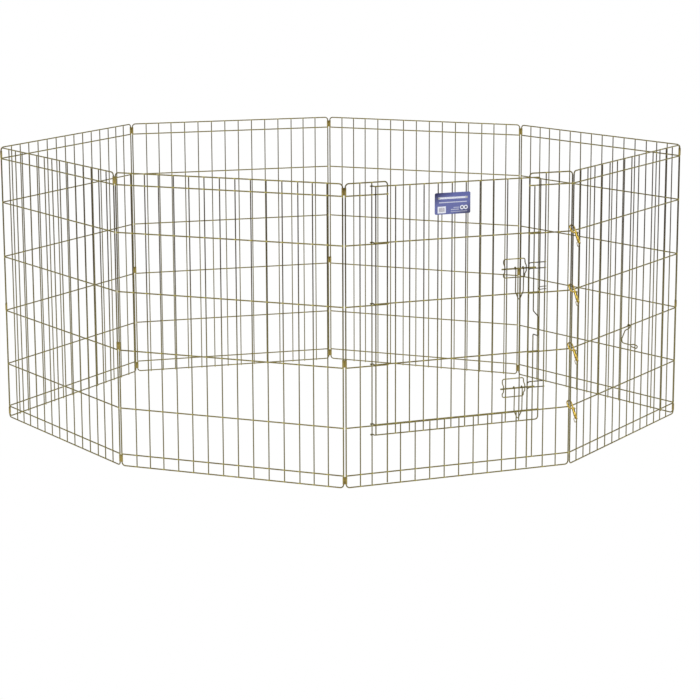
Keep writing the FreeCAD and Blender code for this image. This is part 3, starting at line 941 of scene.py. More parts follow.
@dataclass
class DoorPanel(Panel):
    """The panel with the doorway: its frame wire turns down as two jambs, and its bars stand beside them."""

    jambs: tuple[float, float] = (109.5 * MM, 487.5 * MM)
    jamb_bend: float = 8.0 * MM
    stub_bars: tuple[float, ...] = (38.3 * MM, 69.0 * MM, 532.3 * MM, 568.7 * MM)
    short_start: float = 144.3 * MM
    short_step: float = 39.2 * MM
    short_bars: int = 9
    bow_x: float = 501.7 * MM
    bow_out: float = 28.0 * MM
    bow_heights: tuple[float, ...] = (351.0 * MM, 353.0 * MM, 402.0 * MM, 411.0 * MM)
    bow_bend: float = 4.0 * MM
    stop_d: float = 2.2 * MM
    stop_z: float = 468.0 * MM
    stop_half: float = 3.4 * MM
    stop_xs: tuple[float, ...] = (515.0 * MM, 527.0 * MM, 538.0 * MM)
    stop_bend: float = 6.0 * MM
    catch_d: float = 2.8 * MM
    catch_xs: tuple[float, ...] = (479.8 * MM, 490.8 * MM, 534.0 * MM)
    catch_leg: float = 7.5 * MM
    catch_rise: float = 2.5 * MM
    catch_bend: float = 4.0 * MM
    latch_heights: tuple[float, ...] = (525.0 * MM, 219.0 * MM)
    catch_tip_y: float = 0.0

    @property
    def jamb_y(self) -> float:
        """How far in the jambs stand."""
        return (self.frame_d + self.rail_d) / 2 - self.sink

    @property
    def sill(self) -> float:
        """Height of the sill rail."""
        return self.rails_at[1]

    def short_bars_at(self) -> list[float]:
        """Where the short bars under the sill stand."""
        return [self.short_start + self.short_step * count for count in range(self.short_bars)]

    def crossings(self) -> list[Vector]:
        """Where stubs, short bars and jambs cross the horizontal wires."""
        heights = [self.bottom, *self.rails_at, self.top]
        found = [Vector((x, 0.0, z)) for x in self.stub_bars for z in heights]
        found += [Vector((x, 0.0, z)) for x in self.short_bars_at() for z in heights[:3]]
        found += [Vector((x, 0.0, z)) for x in (*self.jambs, self.bow_x) for z in heights[1:-1]]
        return found

    def frame_wire(self) -> bmesh.types.BMesh:
        """Draw the frame wire from the foot of one jamb round to the other.

        Returns:
            The mesh in the panel's own frame.
        """
        mesh = bmesh.new()
        left, right = self.jambs
        foot = self.bottom + self.frame_d / 2 + 0.4 * MM
        points = [
            Vector((left, self.jamb_y, foot)),
            Vector((left, self.jamb_y, self.top)),
            Vector((0.0, 0.0, self.top)),
            Vector((0.0, 0.0, self.bottom)),
            Vector((self.width, 0.0, self.bottom)),
            Vector((self.width, 0.0, self.top)),
            Vector((right, self.jamb_y, self.top)),
            Vector((right, self.jamb_y, foot)),
        ]
        bends = [self.jamb_bend] + [self.bend] * 4 + [self.jamb_bend]
        Wire(mesh, self.frame_d, self.sides).follow(points, bends, self.crossings() + self.side_welds())
        soften_ends(mesh, self.sides, WIRE_END)
        return mesh

    def rail_wires(self) -> bmesh.types.BMesh:
        """Draw full rails up to the sill, and stub rails beside the doorway.

        Returns:
            The mesh in the panel's own frame.
        """
        mesh = bmesh.new()
        left, right = self.jambs
        for z in self.rails_at[:2]:
            self.rail(mesh, self.rail_start, self.width - self.rail_start, z)
        for z in self.rails_at[2:]:
            self.rail(mesh, self.rail_start, left + self.frame_d / 2, z)
            self.rail(mesh, right - self.frame_d / 2, self.width - self.rail_start, z)
        soften_ends(mesh, self.sides, BAR_END)
        return mesh

    def bar_wires(self) -> bmesh.types.BMesh:
        """Draw the stubs' bars and the short bars.

        Returns:
            The mesh in the panel's own frame.
        """
        mesh = bmesh.new()
        for x in self.stub_bars:
            self.bar(mesh, x, self.bar_top)
        for x in self.short_bars_at():
            self.bar(mesh, x, self.sill + 0.6 * MM)
        soften_ends(mesh, self.sides, BAR_END)
        return mesh

    def bow_bar(self) -> bmesh.types.BMesh:
        """Draw the upright whose middle bows outwards.

        Returns:
            The mesh in the panel's own frame.
        """
        mesh = bmesh.new()
        low, low_out, high_out, high = self.bow_heights
        points = [
            Vector((self.bow_x, self.bar_y, self.rails_at[0] - self.cut_end)),
            Vector((self.bow_x, self.bar_y, low)),
            Vector((self.bow_x, -self.bow_out, low_out)),
            Vector((self.bow_x, -self.bow_out, high_out)),
            Vector((self.bow_x, self.bar_y, high)),
            Vector((self.bow_x, self.bar_y, self.rails_at[5] + self.cut_end)),
        ]
        Wire(mesh, self.bar_d, self.sides).follow(points, self.bow_bend, self.crossings())
        soften_ends(mesh, self.sides, BAR_END)
        return mesh

    def door_stop(self) -> bmesh.types.BMesh:
        """Draw the U of wire behind the door's closing edge.

        Returns:
            The mesh in the panel's own frame.
        """
        mesh = bmesh.new()
        closed, knee, end = self.stop_xs
        y = self.bar_y + (self.bar_d + self.stop_d) / 2 - self.sink
        points: list[Vector] = []
        for side in (1, -1):
            z = self.stop_z + side * self.stop_half
            leg = [Vector((end, y, z)), Vector((knee, y, z)), Vector((closed, 0.0, z))]
            points += leg if side > 0 else leg[::-1]
        tight = self.stop_half - 0.2 * MM
        bends = [self.stop_bend, tight, tight, self.stop_bend]
        Wire(mesh, self.stop_d, self.sides).follow(points, bends, [Vector((532.3 * MM, y, self.stop_z))])
        soften_ends(mesh, self.sides, 0.25 * MM)
        return mesh

    def catches(self) -> bmesh.types.BMesh:
        """Draw the two catches that the bolts slide into.

        Returns:
            The mesh in the panel's own frame.
        """
        mesh = bmesh.new()
        tip, knee, end = self.catch_xs
        y = self.bar_y - (self.bar_d + self.catch_d) / 2 + self.sink
        for height in self.latch_heights:
            points: list[Vector] = []
            for side in (1, -1):
                z = height + self.catch_rise + side * self.catch_leg
                leg = [Vector((end, y, z)), Vector((knee, y, z)), Vector((tip, self.catch_tip_y, z))]
                points += leg if side > 0 else leg[::-1]
            welds = [Vector((x, y, point.z)) for x in (self.bow_x, self.stub_bars[2]) for point in points]
            Wire(mesh, self.catch_d, self.sides).follow(points, self.catch_bend, welds)
        soften_ends(mesh, self.sides, WIRE_END)
        return mesh

    def build(self) -> None:
        """Draw the panel with its bow bar, stop and catches."""
        super().build()
        place = self.place.matrix()
        for name, mesh in (
            ("bow_bar", self.bow_bar()),
            ("door_stop", self.door_stop()),
            ("latch_catches", self.catches()),
        ):
            self.shop.piece(mesh, name + "_wire", self.name, Slot.BAR_WIRE, name, place)


@dataclass
class Door:
    """The hinged door with its cages, and the bolts and handles that slide in them."""

    shop: Workshop
    panel: DoorPanel
    gap: float = 0.3 * MM
    frame_d: float = 3.2 * MM
    rail_d: float = 3.3 * MM
    left: float = 76.8 * MM
    right: float = 514.7 * MM
    bottom: float = 131.0 * MM
    top: float = 750.5 * MM
    bend: float = 8.0 * MM
    bar_start: float = 128.3 * MM
    bar_step: float = 37.1 * MM
    bars: int = 10
    latch_d: float = 2.8 * MM
    bolt_d: float = 4.0 * MM
    bolt_xs: tuple[float, float] = (407.5 * MM, 501.5 * MM)
    cage_xs: tuple[float, float] = (414.7 * MM, 473.0 * MM)
    cage_rise: float = 24.0 * MM
    cage_drop: float = 23.0 * MM
    cage_bend: float = 5.0 * MM
    arm_bend: float = 3.0 * MM
    arm_foot: float = 14.0 * MM
    arm_bow: float = 7.0 * MM
    handle_xs: tuple[float, float] = (444.7 * MM, 466.2 * MM)
    tip_x: float = 455.5 * MM
    handle_drop: float = 82.0 * MM
    handle_shoulder: float = 58.0 * MM
    handle_lean: float = 3.0 * MM
    shoulder_bend: float = 12.0 * MM
    tip_bend: float = 3.0 * MM
    sides: int = 14

    @property
    def frame_y(self) -> float:
        """How far out the door's frame wire stands."""
        return -(self.panel.rail_d / 2 + self.gap + self.frame_d / 2)

    @property
    def bar_y(self) -> float:
        """How far out the door's bars stand."""
        return -(self.panel.rail_d / 2 + self.gap + self.panel.bar_d / 2)

    @property
    def rail_y(self) -> float:
        """How far out the door's rails stand."""
        return self.bar_y - (self.panel.bar_d + self.rail_d) / 2 + self.panel.sink

    @property
    def cage_y(self) -> float:
        """How far out the cages' ends stand."""
        return self.bar_y - (self.panel.bar_d + self.latch_d) / 2 + self.panel.sink

    @property
    def handle_eye(self) -> float:
        """Radius of the handle's eyes, to the wire's middle."""
        return self.bolt_d / 2 + self.gap + self.latch_d / 2

    @property
    def bolt_y(self) -> float:
        """How far out the bolts stand."""
        return self.bar_y - self.panel.bar_d / 2 - self.gap - self.latch_d / 2 - self.handle_eye

    @property
    def bow_y(self) -> float:
        """How far out the cages' arms bow over the bolts."""
        return self.bolt_y - self.bolt_d / 2 - self.gap - self.latch_d / 2

    def rails_at(self) -> list[float]:
        """Heights of the door's rails, just above the panel's."""
        lift = (self.panel.rail_d + self.rail_d) / 2 + self.gap
        return [z + lift for z in self.panel.rails_at[1:5]]

    def bars_at(self) -> list[float]:
        """Where the door's bars stand."""
        return [self.bar_start + self.bar_step * count for count in range(self.bars)]

    def bar_welds(self) -> list[Vector]:
        """Where the door's bars meet its frame and rails."""
        heights = [self.bottom, *self.rails_at(), self.top]
        return [Vector((x, self.bar_y, z)) for x in self.bars_at() for z in heights]

    def edge_welds(self) -> list[Vector]:
        """Where the door's rails cross the uprights of its frame."""
        return [Vector((x, self.frame_y, z)) for x in (self.left, self.right) for z in self.rails_at()]

    def hinge_eye(self, height: float, wire_d: float, y: float) -> tuple[list[Vector], float]:
        """Corners that take a wire from the door's plane round the hinge bar.

        Args:
            height: The eye's height.
            wire_d: The wire's diameter.
            y: How far out the wire stands before it turns.

        Returns:
            The corners and the eye's radius, to the wire's middle.
        """
        eye = self.panel.bar_d / 2 + self.gap + wire_d / 2
        hinge = Vector((self.panel.stub_bars[1], self.panel.bar_y, height))
        corners = [Vector((hinge.x + eye, y, height))]
        corners += eye_corners(hinge, Vector((0.0, 1.0, 0.0)), Vector((1.0, 0.0, 0.0)), eye)
        return corners, eye

    def frame_wire(self) -> bmesh.types.BMesh:
        """Draw the frame wire, which turns round the hinge bar above and below.

        Returns:
            The mesh in the panel's own frame.
        """
        mesh = bmesh.new()
        above, eye = self.hinge_eye(self.top, self.frame_d, self.frame_y)
        below, _ = self.hinge_eye(self.bottom, self.frame_d, self.frame_y)
        corners = [Vector((self.right, self.frame_y, z)) for z in (self.top, self.bottom)]
        points = above[::-1] + corners + below
        bends = [eye] * len(above[1:]) + [self.bend] * 2 + [eye] * len(below[1:])
        wire = Wire(mesh, self.frame_d, self.sides)
        wire.follow(points, bends, self.bar_welds() + self.edge_welds())
        soften_ends(mesh, self.sides, WIRE_END)
        return mesh

    def rail_wires(self) -> bmesh.types.BMesh:
        """Draw the rails, whose eyes turn on the hinge bar.

        Returns:
            The mesh in the panel's own frame.
        """
        mesh = bmesh.new()
        welds = [Vector((point.x, self.rail_y, point.z)) for point in self.bar_welds() + self.edge_welds()]
        for z in self.rails_at():
            corners, eye = self.hinge_eye(z, self.rail_d, self.rail_y)
            points = [Vector((self.right + self.panel.cut_end, self.rail_y, z)), *corners]
            Wire(mesh, self.rail_d, self.sides).follow(points, [eye] * (len(points) - 2), welds)
        soften_ends(mesh, self.sides, WIRE_END)
        return mesh

    def bar_wires(self) -> bmesh.types.BMesh:
        """Draw the door's bars.

        Returns:
            The mesh in the panel's own frame.
        """
        mesh = bmesh.new()
        ends = [Vector((self.left, self.frame_y, z)) for z in (self.bottom, self.top)]
        Wire(mesh, self.frame_d, self.sides).follow(ends, [], self.edge_welds())
        for x in self.bars_at():
            ends = [Vector((x, self.bar_y, self.bottom)), Vector((x, self.bar_y, self.top))]
            Wire(mesh, self.panel.bar_d, self.sides).follow(ends, [], self.bar_welds())
        soften_ends(mesh, self.sides, BAR_END)
        return mesh

    def cages(self) -> bmesh.types.BMesh:
        """Draw the two cages, whose side arms bow out over the bolts.

        Returns:
            The mesh in the panel's own frame.
        """
        mesh = bmesh.new()
        left, right = self.cage_xs
        middle = (left + right) / 2
        for height in self.panel.latch_heights:
            arm = [
                (self.cage_y, height + self.cage_rise),
                (self.cage_y, height + self.arm_foot),
                (self.bow_y, height + self.arm_bow),
                (self.bow_y, height - self.arm_bow),
                (self.cage_y, height - self.arm_foot),
                (self.cage_y, height - self.cage_drop),
            ]
            points = [Vector((middle, self.cage_y, height + self.cage_rise))]
            points += [Vector((right, y, z)) for y, z in arm]
            points += [Vector((left, y, z)) for y, z in arm[::-1]]
            points.append(points[0].copy())
            bends = [self.cage_bend, *[self.arm_bend] * 4, self.cage_bend] * 2
            ends = (height + self.cage_rise, height - self.cage_drop)
            welds = [Vector((x, self.cage_y, z)) for x in self.bars_at() for z in ends]
            wire = Wire(mesh, self.latch_d, self.sides)
            wire.follow(points, bends, welds)
            wire.close()
        return mesh

    def bolt(self, height: float) -> bmesh.types.BMesh:
        """Draw one bolt with domed ends.

        Args:
            height: The bolt's height.

        Returns:
            The mesh in the panel's own frame.
        """
        mesh = bmesh.new()
        sides = self.sides + 6
        ends = [Vector((x, self.bolt_y, height)) for x in self.bolt_xs]
        Wire(mesh, self.bolt_d, sides).follow(ends, [])
        soften_ends(mesh, sides, self.bolt_d * 0.3)
        return mesh

    def handle(self, height: float) -> bmesh.types.BMesh:
        """Draw one pointed handle, hung by two eyes from its bolt.

        Args:
            height: The bolt's height.

        Returns:
            The mesh in the panel's own frame.
        """
        mesh = bmesh.new()
        legs = []
        front = self.bolt_y - self.handle_eye
        for x in self.handle_xs:
            pivot = Vector((x, self.bolt_y, height))
            eye = eye_corners(pivot, UP, Vector((0.0, -1.0, 0.0)), self.handle_eye)
            shoulder = Vector((x, front + self.handle_lean / 2, height - self.handle_shoulder))
            legs.append(eye[::-1] + [shoulder])
        tip = Vector((self.tip_x, front + self.handle_lean, height - self.handle_drop))
        points = legs[0] + [tip] + legs[1][::-1]
        eyes = [self.handle_eye] * 3
        bends = [*eyes, self.shoulder_bend, self.tip_bend, self.shoulder_bend, *eyes]
        Wire(mesh, self.latch_d, self.sides).follow(points, bends)
        soften_ends(mesh, self.sides, WIRE_END)
        return mesh

    def weld_beads(self) -> bmesh.types.BMesh:
        """Draw the metal squeezed out between the door's bars and rails.

        Returns:
            The mesh in the panel's own frame.
        """
        middle = (self.bar_y + self.rail_y) / 2
        columns = (*self.bars_at(), self.left, self.right)
        points = [Vector((x, middle, z)) for x in columns for z in self.rails_at()]
        return draw_beads(points, self.panel.bead)

    def build(self) -> None:
        """Draw the door, its cages, bolts and handles."""
        place = self.panel.place.matrix()
        for name, mesh, slot in (
            ("door_frame", self.frame_wire(), Slot.RAIL_WIRE),
            ("door_rails", self.rail_wires(), Slot.RAIL_WIRE),
            ("door_bars", self.bar_wires(), Slot.BAR_WIRE),
            ("latch_cages", self.cages(), Slot.RAIL_WIRE),
        ):
            self.shop.piece(mesh, name + "_wire", "door", slot, name, place)
        self.shop.piece(self.weld_beads(), "door_welds", "door", Slot.RAIL_WIRE, None, place)
        for which, height in zip(("upper", "lower"), self.panel.latch_heights):
            bolt = which + "_latch_bolt"
            handle = which + "_latch_handle"
            self.shop.piece(self.bolt(height), bolt + "_rod", which + "_bolt", Slot.RAIL_WIRE, bolt, place)
            loop = self.handle(height)
            self.shop.piece(loop, handle + "_loop", which + "_handle", Slot.RAIL_WIRE, handle, place)


@dataclass
class LabelCard:
    """The laminated card on the door's bars, and the two wire ties that hold it."""

    shop: Workshop
    door: Door
    xs: tuple[float, float] = (229.7 * MM, 324.0 * MM)
    zs: tuple[float, float] = (672.0 * MM, 725.5 * MM)
    thick: float = 0.8 * MM
    corner: float = 4.0 * MM
    gap: float = 0.2 * MM
    tie_d: float = 1.2 * MM
    tie_radius: float = 3.0 * MM
    tie_z: float = 712.0 * MM
    tie_y: float = -4.1 * MM
    tie_bars: tuple[int, int] = (3, 5)

    def card(self) -> bmesh.types.BMesh:
        """Draw the card with rounded corners and softened edges.

        Returns:
            The mesh in the panel's own frame.
        """
        mesh = bmesh.new()
        middle = Vector((sum(self.xs) / 2, self.front + self.thick / 2, sum(self.zs) / 2))
        size = Vector((self.xs[1] - self.xs[0], self.thick, self.zs[1] - self.zs[0]))
        place = box_place(middle, size)
        bmesh.ops.create_cube(mesh, size=1.0, matrix=place)
        upright = [
            edge for edge in mesh.edges if abs((edge.verts[0].co - edge.verts[1].co).y) > self.thick / 2
        ]
        bevel(mesh, upright, self.corner, 8)
        rims = [edge for edge in mesh.edges if edge.calc_face_angle(0.0) > CORNER]
        bevel(mesh, rims, 0.18 * MM, 2)
        return mesh

    @property
    def front(self) -> float:
        """How far out the card's printed face stands."""
        return self.door.bar_y - self.door.panel.bar_d / 2 - self.gap - self.thick

    def tie_holes(self) -> bmesh.types.BMesh:
        """Draw the punches for the four holes that the ties pass through.

        Returns:
            The mesh in the panel's own frame.
        """
        mesh = bmesh.new()
        reach = math.sqrt(self.tie_radius ** 2 - (self.front + self.thick / 2 - self.tie_y) ** 2)
        for index in self.tie_bars:
            for side in (-1, 1):
                x = self.door.bars_at()[index] + side * reach
                start = Vector((x, self.front - self.thick, self.tie_z))
                Wire(mesh, 2.0 * MM, 16).follow([start, start + Vector((0.0, 3 * self.thick, 0.0))], [])
        return mesh

    def ties(self) -> bmesh.types.BMesh:
        """Draw the two ties, each a ring round a bar whose cut ends meet at the back.

        Returns:
            The mesh in the panel's own frame.
        """
        mesh = bmesh.new()
        for index in self.tie_bars:
            x = self.door.bars_at()[index]
            wire = Wire(mesh, self.tie_d, 10)
            start = Vector((x + 0.15 * MM, self.tie_y + self.tie_radius, self.tie_z))
            wire.begin(start, Vector((1.0, 0.0, 0.0)))
            for way in ((0.0, -1.0), (-1.0, 0.0), (0.0, 1.0), (0.998, -0.06)):
                wire.bend(Vector((*way, 0.0)).normalized(), self.tie_radius)
        soften_ends(mesh, 10, 0.12 * MM)
        return mesh

    def build(self) -> None:
        """Draw the card, punch it, and add the ties."""
        place = self.door.panel.place.matrix()
        card = self.shop.piece(self.card(), "label_card_print", "door", Slot.LABEL, None, place)
        punch = self.shop.piece(self.tie_holes(), "punch", "door", Slot.LABEL, None, place)
        cut_away(card, punch)
        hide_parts("label_card")
        self.shop.piece(self.ties(), "label_ties", "door", Slot.RAIL_WIRE, None, place)


# --------------------------------------------------------------------------- hinge clips


@dataclass
class HingeClips:
    """Three clips of one corner: strips of sheet rolled round both side wires and pinched between them."""

    shop: Workshop
    corner: str
    place: Matrix
    pitch: float
    heights: list[float]
    bore: float = 3.7 * MM
    wall: float = 0.7 * MM
    height: float = 18.6 * MM
    pinch: float = 0.45 * MM
    nip: float = 0.8 * MM
    seam: float = 0.06 * MM

    def clip(self, mesh: bmesh.types.BMesh, foot: float) -> None:
        """Roll one clip from a strip, starting and ending at its seam.

        Args:
            mesh: The mesh that takes it.
            foot: The height of its lower edge.
        """
        radius = (self.bore + self.wall) / 2
        half = self.pitch / 2
        rise = self.pinch + self.nip
        side = math.sqrt((radius + self.nip) ** 2 - rise ** 2)
        flat = half - side
        swing = math.asin(side / (radius + self.nip))
        middle = foot + self.height / 2
        start = Vector((self.seam, self.pinch, middle))
        strip = Strip(mesh, self.wall, self.height)
        strip.begin(start, Vector((1.0, 0.0, 0.0)))
        strip.run(flat - self.seam)
        for leg in (2 * flat, flat - self.seam):
            strip.turn(swing, self.nip, 2)
            strip.turn(-(math.pi + 2 * swing), radius, 18)
            strip.turn(swing, self.nip, 2)
            strip.run(leg)

    def build(self) -> None:
        """Roll the corner's clips and hang them on their body."""
        mesh = bmesh.new()
        for foot in self.heights:
            self.clip(mesh, foot)
        edges = [edge for edge in mesh.edges if edge.calc_face_angle(0.0) > math.radians(50.0)]
        bevel(mesh, edges, 0.14 * MM, 2)
        name = "hinge_clips_" + self.corner
        self.shop.piece(mesh, name + "_sheet", "clips_" + self.corner, Slot.CLIP_ZINC, name, self.place)


class Strip(Wire):
    """Draws a strip of sheet on edge: an oblong face in place of a round one."""

    def __init__(self, mesh: bmesh.types.BMesh, thick: float, tall: float) -> None:
        """Prepare to draw.

        Args:
            mesh: The mesh that takes the strip.
            thick: The sheet's thickness.
            tall: The strip's height.
        """
        super().__init__(mesh, thick, 4)
        self.thick = thick
        self.tall = tall

    def begin(self, start: Vector, ahead: Vector) -> None:
        """Lay the strip's first end.

        Args:
            start: The middle of the end.
            ahead: The way the strip goes, in the ground plane.
        """
        self.here = start.copy()
        self.ahead = ahead.normalized()
        aside = UP.cross(self.ahead)
        turn = Matrix((aside, UP, self.ahead)).transposed().to_4x4()
        size = Matrix.Diagonal((self.thick, self.tall, 1.0, 1.0))
        made = bmesh.ops.create_grid(
            self.mesh, x_segments=1, y_segments=1, size=0.5, matrix=Matrix.Translation(start) @ turn @ size
        )
        self.face = made["verts"][0].link_faces[0]
        self.first = self.face

    def turn(self, angle: float, radius: float, steps: int) -> None:
        """Roll the strip round a bend.

        Args:
            angle: How far, leftwards where it is positive.
            radius: The bend's radius, to the sheet's middle.
            steps: How many facets the bend has.
        """
        side = 1.0 if angle > 0 else -1.0
        centre = self.here + UP.cross(self.ahead) * radius * side
        self._spin(centre, UP, angle, steps)
        turned = Matrix.Rotation(angle, 3, UP)
        self.here = centre + turned @ (self.here - centre)
        self.ahead = turned @ self.ahead


# --------------------------------------------------------------------------- bolt snaps


@dataclass
class BoltSnap:
    """A bolt snap: in its own frame x runs from the jaw to the tail, y across, and z out of its face."""

    shop: Workshop
    number: int
    place: Matrix
    hook_d: float = 3.6 * MM
    half: float = 7.4 * MM
    hook_top: float = -9.0 * MM
    hook_tip: float = -1.6 * MM
    barrel: tuple[float, float] = (10.0 * MM, 33.0 * MM)
    barrel_d: float = 8.0 * MM
    bore: tuple[float, float] = (4.2 * MM, 30.0 * MM)
    bolt_d: float = 3.8 * MM
    bolt_xs: tuple[float, float] = (-1.2 * MM, 18.0 * MM)
    travel: float = 8.0 * MM
    knob_x: float = 15.0 * MM
    knob_d: float = 5.2 * MM
    stem_d: float = 2.2 * MM
    knob_z: tuple[float, float] = (4.6 * MM, 6.4 * MM)
    slot_width: float = 2.8 * MM
    tail_end: float = 42.0 * MM
    tail_width: float = 6.0 * MM
    tail_thick: float = 3.0 * MM
    hole_x: float = 38.5 * MM
    hole_d: float = 2.6 * MM
    ring_d: float = 1.8 * MM
    ring_half: float = 7.0 * MM
    ring_drop: float = 14.0 * MM
    ring_bend: float = 2.2 * MM
    spring_d: float = 0.5 * MM
    spring_radius: float = 1.6 * MM
    spring_turns: int = 6

    def lathe(self, mesh: bmesh.types.BMesh, outline: Sequence[tuple[float, float]], steps: int) -> None:
        """Turn a closed outline round the barrel's axis.

        Args:
            mesh: The mesh that takes it.
            outline: Place along the axis and distance from it, for each corner.
            steps: How many facets the round has.
        """
        corners = [mesh.verts.new((x, self.half, reach)) for x, reach in outline]
        edges = [mesh.edges.new(pair) for pair in zip(corners, corners[1:] + corners[:1])]
        bmesh.ops.spin(
            mesh, geom=corners + edges, cent=Vector((0.0, self.half, 0.0)), axis=Vector((1.0, 0.0, 0.0)),
            dvec=Vector(), angle=math.tau, space=Matrix.Identity(4), steps=steps,
            use_merge=True, use_normal_flip=False, use_duplicate=False,
        )

    def barrel_mesh(self) -> bmesh.types.BMesh:
        """Turn the barrel with its two collars and its bore.

        Returns:
            The mesh in the snap's own frame.
        """
        mesh = bmesh.new()
        start, end = self.barrel
        outer = self.barrel_d / 2
        waist = outer - 0.45 * MM
        lip = 0.5 * MM
        collar = 2.6 * MM
        inner = self.bore[0] / 2
        outline = [
            (start, inner + lip / 2),
            (start, outer - lip),
            (start + lip / 2, outer - lip / 4),
            (start + lip, outer),
            (start + collar - lip, outer),
            (start + collar, waist),
            (end - collar, waist),
            (end - collar + lip, outer),
            (end - lip, outer),
            (end - lip / 2, outer - lip / 4),
            (end, outer - lip),
            (end, TINY),
            (self.bore[1], TINY),
            (self.bore[1], inner),
            (start + lip / 2, inner),
        ]
        self.lathe(mesh, outline, 32)
        return mesh

    def slot_cutter(self) -> bmesh.types.BMesh:
        """Draw the round-ended slot that the knob slides in.

        Returns:
            The mesh in the snap's own frame.
        """
        mesh = bmesh.new()
        start = self.knob_x - self.slot_width / 2
        length = self.travel + self.slot_width
        middle = Vector((start + length / 2, self.half, self.barrel_d / 2))
        size = (length, self.slot_width, self.barrel_d)
        bmesh.ops.create_cube(mesh, size=1.0, matrix=box_place(middle, size))
        upright = [edge for edge in mesh.edges if abs((edge.verts[0].co - edge.verts[1].co).z) > MM]
        bevel(mesh, upright, self.slot_width * 0.45, 5)
        return mesh

    def casting(self) -> bmesh.types.BMesh:
        """Draw the open jaw and the drilled tail.

        Returns:
            The mesh in the snap's own frame.
        """
        mesh = bmesh.new()
        start, end = self.barrel
        hook = Wire(mesh, self.hook_d, 16)
        hook.follow(
            [
                Vector((start + 3.0 * MM, self.half - self.barrel_d / 2 + 0.6 * MM, 0.0)),
                Vector((start - 1.0 * MM, -self.half, 0.0)),
                Vector((self.hook_top, -self.half, 0.0)),
                Vector((self.hook_top, self.half, 0.0)),
                Vector((self.hook_tip, self.half, 0.0)),
            ],
            [5.0 * MM, self.half - 0.4 * MM, self.half - 0.4 * MM],
        )
        soften_ends(mesh, 16, 0.5 * MM)
        long = self.tail_end - end + 1.0 * MM
        middle = Vector((end - 1.0 * MM + long / 2, self.half, 0.0))
        size = (long, self.tail_thick, self.tail_width)
        tail = bmesh.ops.create_cube(
            mesh, size=1.0, matrix=box_place(middle, size)
        )["verts"]
        rounded = [
            edge for edge in {edge for vert in tail for edge in vert.link_edges}
            if abs((edge.verts[0].co - edge.verts[1].co).y) > MM and edge.verts[0].co.x > end
        ]
        bevel(mesh, rounded, self.tail_width / 2 - 0.2 * MM, 6)
        rims = [
            edge for edge in mesh.edges
            if min(vert.co.x for vert in edge.verts) > end - 1.5 * MM
            and edge.calc_face_angle(0.0) > CORNER
        ]
        bevel(mesh, rims, 0.4 * MM, 2)
        return mesh

    def hole_cutter(self) -> bmesh.types.BMesh:
        """Draw the drill for the tail's hole.

        Returns:
            The mesh in the snap's own frame.
        """
        mesh = bmesh.new()
        low = Vector((self.hole_x, self.half - self.tail_thick, 0.0))
        Wire(mesh, self.hole_d, 20).follow([low, low + Vector((0.0, 2 * self.tail_thick, 0.0))], [])
        return mesh

    def bolt(self) -> bmesh.types.BMesh:
        """Draw the bolt with its domed nose, stem and knurled thumb knob.

        Returns:
            The mesh in the snap's own frame.
        """
        mesh = bmesh.new()
        start, end = self.bolt_xs
        ends = [Vector((x, self.half, 0.0)) for x in (end, start)]
        Wire(mesh, self.bolt_d, 20).follow(ends, [])
        soften_ends(mesh, 20, 0.7 * MM)
        low, high = self.knob_z
        foot = Vector((self.knob_x, self.half, self.bolt_d / 4))
        Wire(mesh, self.stem_d, 14).follow([foot, Vector((self.knob_x, self.half, low + 0.3 * MM))], [])
        knob = Wire(mesh, self.knob_d, 24)
        knob.follow([Vector((self.knob_x, self.half, low)), Vector((self.knob_x, self.half, high))], [])
        soften_ends(mesh, 24, 0.45 * MM)
        return mesh

    def spring(self) -> bmesh.types.BMesh:
        """Draw the coil behind the bolt, at its working length.

        Returns:
            The mesh in the snap's own frame.
        """
        mesh = bmesh.new()
        start = self.bolt_xs[1] + 0.3 * MM + self.spring_d / 2
        length = self.bore[1] - start - 0.3 * MM - self.spring_d / 2
        quarter = Matrix.Rotation(math.pi / 2, 4, "X")
        face = bmesh.ops.create_circle(
            mesh, cap_ends=True, segments=8, radius=self.spring_d / 2,
            matrix=Matrix.Translation((start, self.half, self.spring_radius)) @ quarter,
        )["verts"][0].link_faces[0]
        steps = 16 * self.spring_turns
        bmesh.ops.spin(
            mesh, geom=[face], cent=Vector((start, self.half, 0.0)), axis=Vector((1.0, 0.0, 0.0)),
            dvec=Vector((length / steps, 0.0, 0.0)), angle=math.tau * self.spring_turns,
            space=Matrix.Identity(4), steps=steps,
            use_merge=False, use_normal_flip=False, use_duplicate=False,
        )
        return mesh

    def ring(self) -> bmesh.types.BMesh:
        """Draw the triangular ring, hanging straight down from the tail.

        Returns:
            The mesh in the row frame.
        """
        mesh = bmesh.new()
        pivot = self.place @ Vector((self.hole_x, self.half, 0.0))
        axis = (self.place.to_3x3() @ Vector((0.0, 1.0, 0.0))).normalized()
        down = -UP
        hang = (down - axis * down.dot(axis)).normalized()
        points = [
            pivot,
            pivot + axis * self.ring_half,
            pivot + hang * self.ring_drop,
            pivot - axis * self.ring_half,
            pivot,
        ]
        wire = Wire(mesh, self.ring_d, 12)
        wire.follow(points, self.ring_bend)
        wire.close()
        return mesh

